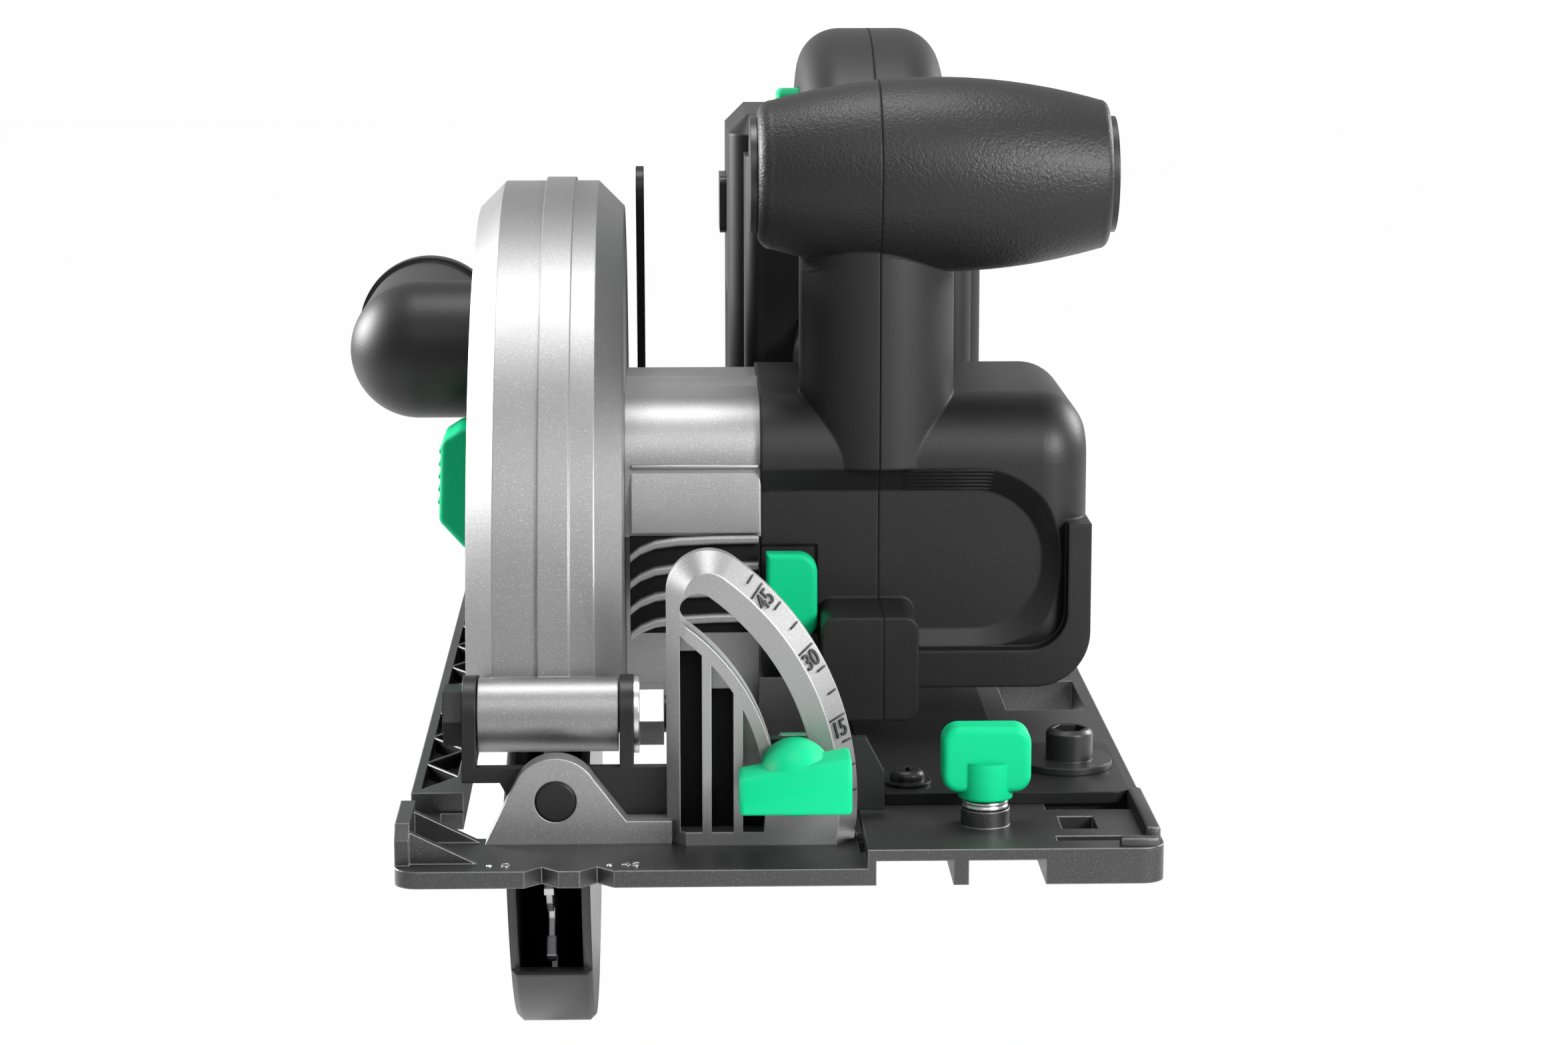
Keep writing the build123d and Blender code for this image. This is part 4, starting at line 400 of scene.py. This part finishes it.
# %% Finishes onto the nodes
dressed = {
    silver_casting: ("gear_case", "bevel_quadrant", "rear_hinge_lug"),
    guard_paint: ("upper_guard",),
    sole_paint: ("base_plate", "edge_rail"),
    dark_plate: ("lower_guard",),
    black_shell: ("housing_left", "housing_right", "battery_case", "dust_port"),
    black_smooth: ("switch_body", "terminal_block", "guide_cam", "depth_lever", "cooling_fan",
                   "battery_latch_left", "battery_latch_right", "grip_end_caps", "trigger"),
    green_plastic: ("fence_knob", "bevel_knob", "lock_off_button", "shaft_lock_button", "guard_lever"),
    bright_steel: ("fence_clamp_spring", "fence_clamp_screw", "bevel_clamp_bolt", "bevel_clamp_washer",
                   "depth_pivot_nut", "depth_arm_rivets", "arbor_bearing", "arbor_tail_bearing",
                   "motor_bearing", "motor_tail_bearing", "stator", "guard_retaining_ring",
                   "guard_return_spring", "inner_flange", "outer_flange", "blade_bolt", "arbor_shaft",
                   "drive_gear", "rotor_shaft", "rotor_core"),
    black_steel: ("depth_arm", "sole_top_plate", "bevel_pin_front", "bevel_pin_rear", "front_bracket",
                  "rear_bracket", "depth_pivot_bolt", "depth_clamp_bolt", "housing_screws",
                  "top_plate_screws", "shaft_lock_pin"),
    blade_steel: ("saw_blade",),
    copper_wire: ("stator_coils",),
    board_green: ("control_board",),
}
for material, names in dressed.items():
    for name in names:
        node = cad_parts[name]
        node.data.materials.clear()
        node.data.materials.append(material)
print("finishes", len(dressed), "nodes", sum(len(names) for names in dressed.values()))

# %% [markdown]
# ## Small helpers for added pieces
# On the real saw, marks, fins and ridges come out of the mould with the part they are on. Here each
# is a mesh of its own, made in its place and then told which body carries it and which of the saw's
# materials it belongs to. Most of them are rounded bars, figures, or a flat section that is pushed
# along. Edges that turn by less than an angle are shaded smooth, and sharper ones stay crisp.

# %% Adding a piece
SMOOTH_ANGLE = math.radians(35)


def add_piece(name, shape, body, material):
    """Turn a finished bmesh into a piece that rides on a body of the saw."""
    mesh = bpy.data.meshes.new(name)
    shape.to_mesh(mesh)
    shape.free()
    mesh.materials.append(material)
    piece = bpy.data.objects.new(name, mesh)
    bpy.context.collection.objects.link(piece)
    mesh.shade_smooth()
    mesh.set_sharp_from_angle(angle=SMOOTH_ANGLE)
    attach(piece, body)
    print(name, len(mesh.polygons), "faces")
    return piece


# %% Rounded bars
BAR_SEGMENTS = 2


def add_bar(shape, size, place, rounding):
    """A block with softened edges, of a size in millimetres, set at a matrix in metres."""
    made = bmesh.ops.create_cube(shape, size=1.0)["verts"]
    bmesh.ops.scale(shape, vec=mm(*size), verts=made)
    edges = list({edge for vert in made for edge in vert.link_edges})
    made = bmesh.ops.bevel(shape, geom=edges, offset=rounding / 1000, segments=BAR_SEGMENTS,
                           profile=0.5, affect="EDGES", material=-1)["verts"]
    bmesh.ops.transform(shape, matrix=place, verts=made)


# %% Raised figures
FIGURE_ROUNDING = 0.06


def add_text(shape, text, size, depth, place):
    """Plain figures as a raised mesh: size and depth in millimetres, set at a matrix in metres."""
    curve = bpy.data.curves.new("figure", "FONT")
    curve.body = text
    curve.size = size / 1000
    curve.extrude = depth / 1000
    curve.bevel_depth = FIGURE_ROUNDING / 1000
    curve.align_x = "CENTER"
    curve.align_y = "CENTER"
    holder = bpy.data.objects.new("figure", curve)
    bpy.context.collection.objects.link(holder)
    bpy.context.view_layer.update()
    mesh = holder.to_mesh()
    mesh.transform(place)
    shape.from_mesh(mesh)
    holder.to_mesh_clear()
    bpy.data.objects.remove(holder)
    bpy.data.curves.remove(curve)


# %% [markdown]
# ## The bevel scale
# The sloped rim of the quadrant is cast with raised marks: a tick every five degrees, longer ones
# at 0, 15, 30 and 45, and the figures beside them. The rim is a cone round the bevel axis, so each
# mark is built flat and then carried to its angle by a frame made of three directions: up the
# cone, along the arc and straight out of the metal. In a texture the marks would lie flat when
# seen from low down, so they are solid. They are coloured much darker than the bright rim as
# painted shade, since the cast relief is the rim's own metal and looks dark in its shadow.

# %% The rim as a place to build on
BEVEL_X, BEVEL_Z = 3.0, 13.0
RIM_INNER, RIM_OUTER = 60.0, 64.0
RIM_FRONT, RIM_BACK = -126.0, -121.0
rim_rise = RIM_OUTER - RIM_INNER
rim_depth = RIM_BACK - RIM_FRONT
rim_width = math.hypot(rim_rise, rim_depth)


def on_rim(degrees, share):
    """A frame on the rim: x up the cone, y along the arc, z out of the metal."""
    turn = math.radians(degrees)
    outward = Vector((math.cos(turn), 0, math.sin(turn)))
    along = Vector((-math.sin(turn), 0, math.cos(turn)))
    up_cone = (rim_rise * outward + Vector((0, rim_depth, 0))).normalized()
    basis = Matrix((up_cone, along, up_cone.cross(along))).transposed().to_4x4()
    radius = RIM_INNER + share * rim_rise
    centre = mm(BEVEL_X, RIM_FRONT + share * rim_depth, BEVEL_Z) + outward * radius / 1000
    return Matrix.Translation(centre) @ basis


print("rim width", round(rim_width, 2), "mm")

# %% Scale marks
# angles in degrees, tick lengths and places as shares of the rim's width
SCALE_START, LAST_TICK = 1.6, 47.4
LONG_TICK, SHORT_TICK = 0.84, 0.46
LONG_MIDDLE, SHORT_MIDDLE = 0.5, 0.70
TICK_WIDTH, TICK_HEIGHT, TICK_ROUNDING = 0.46, 0.7, 0.16
FIGURE_SIZE, FIGURE_DEPTH = 5.0, 0.3
FIGURE_BEFORE, FIGURE_MIDDLE = 2.4, 0.46
scale_shape = bmesh.new()
for value in [*range(0, 50, 5), LAST_TICK]:
    long_mark = value % 15 == 0
    length = rim_width * (LONG_TICK if long_mark else SHORT_TICK)
    middle = LONG_MIDDLE if long_mark else SHORT_MIDDLE
    tick_place = on_rim(value + SCALE_START, middle)
    add_bar(scale_shape, (length, TICK_WIDTH, TICK_HEIGHT), tick_place, TICK_ROUNDING)
for value in (0, 15, 30, 45):
    figure_place = on_rim(value + SCALE_START - FIGURE_BEFORE, FIGURE_MIDDLE)
    add_text(scale_shape, str(value), FIGURE_SIZE, FIGURE_DEPTH, figure_place)
# the dark finish on the marks is painted shade
add_piece("bevel_scale_marks", scale_shape, "base", mark_painted_shade)

# %% [markdown]
# ## The seam of the shells
# The two halves of the body meet in one plane through the grip, neck and motor. A real seam shows
# as a hair of shadow that follows every curve. The line is found rather than drawn: a copy of each
# half is cut by two planes close to the seam, which leaves a ribbon of its own surface, and the
# ribbon is lifted by a few hundredths of a millimetre and painted as shadow.

# %% Seam ribbon
SEAM_X = 76.0
SEAM_HALF = 0.16
SEAM_LIFT = 0.035
MERGE_DISTANCE, CUT_DISTANCE = 1e-6, 1e-7
CAP_FACING = 0.9
seam_sides = (
    ("housing_left", SEAM_X - SEAM_HALF, SEAM_X),
    ("housing_right", SEAM_X, SEAM_X + SEAM_HALF),
)
seam_shape = bmesh.new()
for node_name, low, high in seam_sides:
    half = bmesh.new()
    half.from_mesh(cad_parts[node_name].data)
    bmesh.ops.remove_doubles(half, verts=half.verts, dist=MERGE_DISTANCE)
    for plane_x, outside in ((low, -1), (high, 1)):
        everything = half.verts[:] + half.edges[:] + half.faces[:]
        bmesh.ops.bisect_plane(half, geom=everything, dist=CUT_DISTANCE, plane_co=mm(plane_x, 0, 0),
                               plane_no=(outside, 0, 0), clear_outer=True)
    caps = [face for face in half.faces if abs(face.normal.x) > CAP_FACING]
    bmesh.ops.delete(half, geom=caps, context="FACES")
    half.normal_update()
    for vert in half.verts:
        vert.co += vert.normal * SEAM_LIFT / 1000
    ribbon = bpy.data.meshes.new("ribbon")
    half.to_mesh(ribbon)
    half.free()
    seam_shape.from_mesh(ribbon)
    bpy.data.meshes.remove(ribbon)
add_piece("shell_seam", seam_shape, "saw_head", shadow_line)

# %% [markdown]
# ## Grip lines on the motor
# Six fine ridges are moulded on the sloped border of the motor's front recess, to the right of the
# seam. They are too coarse for a bump in the finish, so each is a rounded bar. The border leans
# back as it goes down, so every bar is set at its own depth.


# %% Places on the drawing
def at(x, y, z):
    """A place in millimetres as a matrix in metres."""
    return Matrix.Translation(mm(x, y, z))


# %% Grip lines
LINE_COUNT = 6
BORDER_TOP, BORDER_FLOOR = 70.0, 64.5
BORDER_FRONT, BORDER_BACK = -40.0, -36.8
LINES_LEFT, LINES_RIGHT = 81.5, 103.0
LINE_THICK, LINE_HEIGHT, LINE_ROUNDING = 0.5, 0.42, 0.15
FIRST_LINE, LINE_STEP = 0.08, 0.168
lean = math.atan2(BORDER_BACK - BORDER_FRONT, BORDER_TOP - BORDER_FLOOR)
line_shape = bmesh.new()
for number in range(LINE_COUNT):
    share = FIRST_LINE + LINE_STEP * number
    line_z = BORDER_TOP + share * (BORDER_FLOOR - BORDER_TOP)
    line_y = BORDER_FRONT + share * (BORDER_BACK - BORDER_FRONT)
    place = at((LINES_LEFT + LINES_RIGHT) / 2, line_y, line_z) @ Matrix.Rotation(lean, 4, "X")
    add_bar(line_shape, (LINES_RIGHT - LINES_LEFT, LINE_THICK, LINE_HEIGHT), place, LINE_ROUNDING)
add_piece("motor_grip_lines", line_shape, "saw_head", black_shell)

# %% [markdown]
# ## Painted shade in the quadrant's channels
# Between its ribs the quadrant is open to the black hardware behind it, so the channels read as
# black, while in the solid they are blind and would catch light. A thin plate with rounded edges
# lies on the floor of each channel as painted shade for that depth.
# The channels stop below the curved slot, so each plate is as tall as the arc leaves room for.

# %% Painted shade on the channel floors
CHANNEL_COUNT = 3
FIRST_CHANNEL = 31.7
CHANNEL_PITCH, CHANNEL_WIDTH, CHANNEL_DEPTH = 6.6, 4.6, 5.2
CHANNEL_FOOT = 6.6
CHANNEL_ARC = 44.4
PLATE_THICK, PLATE_PLAY, PLATE_ROUNDING = 0.28, 0.1, 0.05
PLATE_LIFT = 0.15
channel_shade_shape = bmesh.new()
for number in range(CHANNEL_COUNT):
    channel_x = FIRST_CHANNEL + number * CHANNEL_PITCH
    corner_x = channel_x + CHANNEL_WIDTH / 2 - BEVEL_X
    channel_top = BEVEL_Z + math.sqrt(CHANNEL_ARC ** 2 - corner_x ** 2)
    size = (CHANNEL_WIDTH - PLATE_PLAY, PLATE_THICK, channel_top - CHANNEL_FOOT - PLATE_PLAY)
    place = at(channel_x, RIM_FRONT + CHANNEL_DEPTH - PLATE_LIFT, (channel_top + CHANNEL_FOOT) / 2)
    add_bar(channel_shade_shape, size, place, PLATE_ROUNDING)
# the plates are painted shade in the shadow finish
add_piece("quadrant_channel_shade", channel_shade_shape, "base", shadow_line)

# %% [markdown]
# ## Cooling fins of the gear case
# Four cast fins run across the front of the gear case. They are straight on the motor side and
# sweep down where they meet the guard. One rounded section is pushed along a short path: each
# extrusion keeps the section and carries it to the next point, so the fin bends without twisting.
# The deep gaps between the fins are painted shade: a dark panel in the shadow finish behind them.


# %% Sections
def add_section(shape, points):
    """A flat face through points in millimetres."""
    return shape.faces.new([shape.verts.new(mm(*point)) for point in points])


def push_section(shape, section, step, keep_start):
    """Extrude a section by a step in millimetres and give back the face at its new end."""
    grown = bmesh.ops.extrude_face_region(shape, geom=[section])["geom"]
    moved = [item for item in grown if isinstance(item, bmesh.types.BMVert)]
    if not keep_start:
        bmesh.ops.delete(shape, geom=[section], context="FACES_ONLY")
    bmesh.ops.translate(shape, verts=moved, vec=mm(*step))
    return [item for item in grown if isinstance(item, bmesh.types.BMFace)][0]


# %% Gear case fins
FIN_LEFT, FIN_RIGHT = 18.2, 48.0
FIN_BACK, FIN_FRONT = -36.6, -40.4
FIN_THICK, FIN_ROUND = 2.0, 0.5
fin_tops = (54.6, 48.3, 42.2, 36.1)
# each pair is a depth and a drop below the fin's top
fin_section = (
    (FIN_BACK, 0),
    (FIN_FRONT + FIN_ROUND, 0),
    (FIN_FRONT, FIN_ROUND),
    (FIN_FRONT, FIN_THICK - FIN_ROUND),
    (FIN_FRONT + FIN_ROUND, FIN_THICK),
    (FIN_BACK, FIN_THICK),
)
# each pair is a place along X and the fin's rise there, below zero where it sinks
fin_path = ((FIN_RIGHT, 0.0), (38.0, -0.1), (29.0, -0.5), (24.0, -1.2), (20.5, -2.6), (FIN_LEFT, -4.4))
fin_shape = bmesh.new()
for fin_top in fin_tops:
    fin_points = [(FIN_RIGHT, depth, fin_top - drop) for depth, drop in fin_section]
    section = add_section(fin_shape, fin_points)
    for here, there in zip(fin_path, fin_path[1:]):
        step = (there[0] - here[0], 0, there[1] - here[1])
        section = push_section(fin_shape, section, step, keep_start=here is fin_path[0])
bmesh.ops.recalc_face_normals(fin_shape, faces=fin_shape.faces)
add_piece("gear_case_fins", fin_shape, "saw_head", silver_casting)

# %% Painted shade between the fins
# a dark panel as painted shade for the deep gaps between the fins
GAP_SHADE_THICK, GAP_SHADE_HEIGHT, GAP_SHADE_ROUNDING = 0.3, 23.0, 0.08
GAP_SHADE_Y, GAP_SHADE_Z = -38.2, 42.8
gap_shade_size = (FIN_RIGHT - FIN_LEFT, GAP_SHADE_THICK, GAP_SHADE_HEIGHT)
gap_shade_shape = bmesh.new()
add_bar(gap_shade_shape, gap_shade_size, at((FIN_LEFT + FIN_RIGHT) / 2, GAP_SHADE_Y, GAP_SHADE_Z), GAP_SHADE_ROUNDING)
add_piece("gear_case_fin_gap_shade", gap_shade_shape, "saw_head", shadow_line)

# %% [markdown]
# ## The step on the gear case
# Above the fins the casting steps out: a thin lip, a band that leans back and a plain face below it.
# The section is drawn once at the left end and extruded to the joint with the motor, which keeps
# the faces flat and the edges true.

# %% Gear case band
BAND_LEFT, BAND_RIGHT = 18.6, 48.4
CASE_FRONT = -38.0
LIP_Z, LIP_LIFT = 70.5, 0.2
LIP_THICK, LIP_HEIGHT, LIP_ROUNDING = 1.6, 1.0, 0.35
# each pair is how far the section stands proud of the case, and its height
band_section = ((-0.2, 69.0), (0.1, 69.0), (1.9, 61.0), (1.9, 55.2), (-0.2, 55.2))
band_width = BAND_RIGHT - BAND_LEFT
band_shape = bmesh.new()
band_points = [(BAND_LEFT, CASE_FRONT - proud, height) for proud, height in band_section]
section = add_section(band_shape, band_points)
push_section(band_shape, section, (band_width, 0, 0), keep_start=True)
bmesh.ops.recalc_face_normals(band_shape, faces=band_shape.faces)
lip_place = at((BAND_LEFT + BAND_RIGHT) / 2, CASE_FRONT - LIP_LIFT, LIP_Z)
add_bar(band_shape, (band_width, LIP_THICK, LIP_HEIGHT), lip_place, LIP_ROUNDING)
add_piece("gear_case_band", band_shape, "saw_head", silver_casting)

# %% [markdown]
# ## Sight figures and the edge of the sole
# Beside the two sight notches the casting carries small raised figures, 0 for a square cut and 45
# for a full bevel, each with a dot. They are so small that plain text with a rounded edge is enough.
# They are coloured a bright silver as a painted highlight for their glint.
# The motor side of the sole also has a low upstanding rim at its front corner, made of two bars.

# %% Sight figures
SOLE_TOP = 3.6
SIGHT_Y = -140.6
SIGHT_SIZE, SIGHT_DEPTH = 4.0, 0.22
DOT_RADIUS, DOT_FLATTEN = 0.7, 0.55
DOT_SEGMENTS, DOT_RINGS = 12, 8
sight_shape = bmesh.new()
for text, place_x in (("0", -7.0), ("45", 19.0)):
    add_text(sight_shape, text, SIGHT_SIZE, SIGHT_DEPTH, at(place_x, SIGHT_Y, SOLE_TOP))
for dot_x in (-10.4, 14.6):
    dot = bmesh.ops.create_uvsphere(sight_shape, u_segments=DOT_SEGMENTS, v_segments=DOT_RINGS,
                                    radius=DOT_RADIUS / 1000)["verts"]
    bmesh.ops.scale(sight_shape, vec=(1, 1, DOT_FLATTEN), verts=dot)
    bmesh.ops.translate(sight_shape, vec=mm(dot_x, SIGHT_Y, SOLE_TOP), verts=dot)
# the bright finish on the figures is a painted highlight
add_piece("sight_figures", sight_shape, "base", mark_highlight_metal)

# %% Edge rim
RAISED_TOP = 7.6
# each row is a size, a place beside and along the saw, a lift above the sole and a rounding
rim_bars = (
    ((3.2, 34.0, 5.4), (127.9, -122.5), 0.4, 0.8),
    ((8.0, 3.0, 3.2), (124.6, -142.4), 0.2, 0.6),
)
rim_shape = bmesh.new()
for size, place, lift, rounding in rim_bars:
    add_bar(rim_shape, size, at(*place, RAISED_TOP + lift), rounding)
add_piece("sole_edge_rim", rim_shape, "base", sole_paint)

# %% [markdown]
# ## The bevel knob
# The clamp knob is a domed hub with one wing across it. The wing is taller at its right end, and a
# ridge along its front climbs from left to right. The wing is bridged between its two end sections
# and the hub is spun from a profile. A Boolean joins them and drills the bore, because the stud has
# to turn freely inside the knob.

# %% Wing of the knob
KNOB_X, KNOB_BACK, KNOB_Z = 53.5, -127.8, 20.1
WING_LEFT, WING_RIGHT = -12.0, 11.3
WING_ROUNDING, WING_SEGMENTS = 0.9, 4
# each pair is a height beside the axis and a depth in front of the washer
left_section = ((-5.2, 3.0), (-5.2, 17.0), (-2.4, 17.0), (1.9, 14.4), (1.9, 3.0))
right_section = ((-5.2, 3.0), (-5.2, 17.0), (2.4, 17.0), (6.2, 14.4), (6.2, 3.0))
wing_shape = bmesh.new()
end_edges = []
for end_x, section in ((WING_LEFT, left_section), (WING_RIGHT, right_section)):
    corners = [(KNOB_X + end_x, KNOB_BACK - depth, KNOB_Z + height) for height, depth in section]
    end_edges += add_section(wing_shape, corners).edges[:]
bmesh.ops.bridge_loops(wing_shape, edges=end_edges)
bmesh.ops.recalc_face_normals(wing_shape, faces=wing_shape.faces)
bmesh.ops.bevel(wing_shape, geom=wing_shape.edges[:], offset=WING_ROUNDING / 1000,
                segments=WING_SEGMENTS, profile=0.5, affect="EDGES", material=-1)
print("wing", len(wing_shape.faces), "faces")

# %% Hub of the knob
HUB_STEPS = 56
# each pair is a radius and a depth in front of the washer
hub_profile = (
    (0.0, 0.0), (7.6, 0.0), (7.6, 6.6), (7.35, 9.0),
    (6.5, 11.6), (5.1, 13.6), (3.0, 15.1), (0.0, 15.7),
)
hub_shape = bmesh.new()
profile_verts = [hub_shape.verts.new(mm(KNOB_X + radius, KNOB_BACK - depth, KNOB_Z))
                 for radius, depth in hub_profile]
profile_edges = [hub_shape.edges.new(pair) for pair in zip(profile_verts, profile_verts[1:])]
bmesh.ops.spin(hub_shape, geom=profile_verts + profile_edges, cent=mm(KNOB_X, KNOB_BACK, KNOB_Z),
               axis=(0, 1, 0), angle=2 * math.pi, steps=HUB_STEPS, use_merge=True)
bmesh.ops.remove_doubles(hub_shape, verts=hub_shape.verts, dist=MERGE_DISTANCE)
print("hub", len(hub_shape.faces), "faces")

# %% Bore of the knob
BORE_RADIUS, BORE_DEPTH, BORE_EXTRA = 3.2, 14.0, 2.0
BORE_SEGMENTS = 40
bore_shape = bmesh.new()
bmesh.ops.create_cone(bore_shape, cap_ends=True, segments=BORE_SEGMENTS, radius1=BORE_RADIUS / 1000,
                      radius2=BORE_RADIUS / 1000, depth=(BORE_DEPTH + BORE_EXTRA) / 1000)
bmesh.ops.rotate(bore_shape, verts=bore_shape.verts, matrix=Matrix.Rotation(math.pi / 2, 3, "X"))
bore_middle = mm(KNOB_X, KNOB_BACK - (BORE_DEPTH - BORE_EXTRA) / 2, KNOB_Z)
bmesh.ops.translate(bore_shape, verts=bore_shape.verts, vec=bore_middle)
print("bore", 2 * BORE_RADIUS, "mm wide")


# %% The knob joined
JOINT_MERGE = 2e-6


def loose_object(name, shape):
    """A bmesh as an object of its own, for a Boolean."""
    bmesh.ops.recalc_face_normals(shape, faces=shape.faces)
    mesh = bpy.data.meshes.new(name)
    shape.to_mesh(mesh)
    shape.free()
    made = bpy.data.objects.new(name, mesh)
    bpy.context.collection.objects.link(made)
    return made


wing = loose_object("wing", wing_shape)
hub = loose_object("hub", hub_shape)
bore = loose_object("bore", bore_shape)
for other, operation in ((hub, "UNION"), (bore, "DIFFERENCE")):
    modifier = wing.modifiers.new(operation.lower(), "BOOLEAN")
    modifier.operation = operation
    modifier.object = other
finished_wing = wing.evaluated_get(bpy.context.evaluated_depsgraph_get())
joined = bpy.data.meshes.new_from_object(finished_wing)
knob_shape = bmesh.new()
knob_shape.from_mesh(joined)
bmesh.ops.remove_doubles(knob_shape, verts=knob_shape.verts, dist=JOINT_MERGE)
for spare in (wing, hub, bore):
    bpy.data.objects.remove(spare)
bpy.data.meshes.remove(joined)
knob = add_piece("bevel_knob_winged", knob_shape, "bevel_knob", green_plastic)
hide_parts("bevel_knob")

# %% [markdown]
# ## Finger ridges on the guard lever
# The lever that lifts the lower guard is pulled with one finger, so its outer face carries low
# ridges. Each is a rounded bar that sits half in the face. The face leans outwards as it goes down,
# and the bars follow it.

# %% Lever ridges
LEVER_TOP, LEVER_LOW = Vector((-29.2, 66.0)), Vector((-30.0, 46.0))
LEVER_MIDDLE_Y = 40.0
RIDGE_LENGTH, RIDGE_THICK, RIDGE_ROUNDING = 14.0, 1.3, 0.55
RIDGE_COUNT, RIDGE_STEP = 5, 0.16
RIDGE_SIZE = (RIDGE_THICK, RIDGE_LENGTH, RIDGE_THICK)
ridge_shape = bmesh.new()
for number in range(RIDGE_COUNT):
    ridge_x, ridge_z = LEVER_TOP.lerp(LEVER_LOW, RIDGE_STEP * (number + 1))
    add_bar(ridge_shape, RIDGE_SIZE, at(ridge_x, LEVER_MIDDLE_Y, ridge_z), RIDGE_ROUNDING)
add_piece("guard_lever_ridges", ridge_shape, "lower_guard", green_plastic)
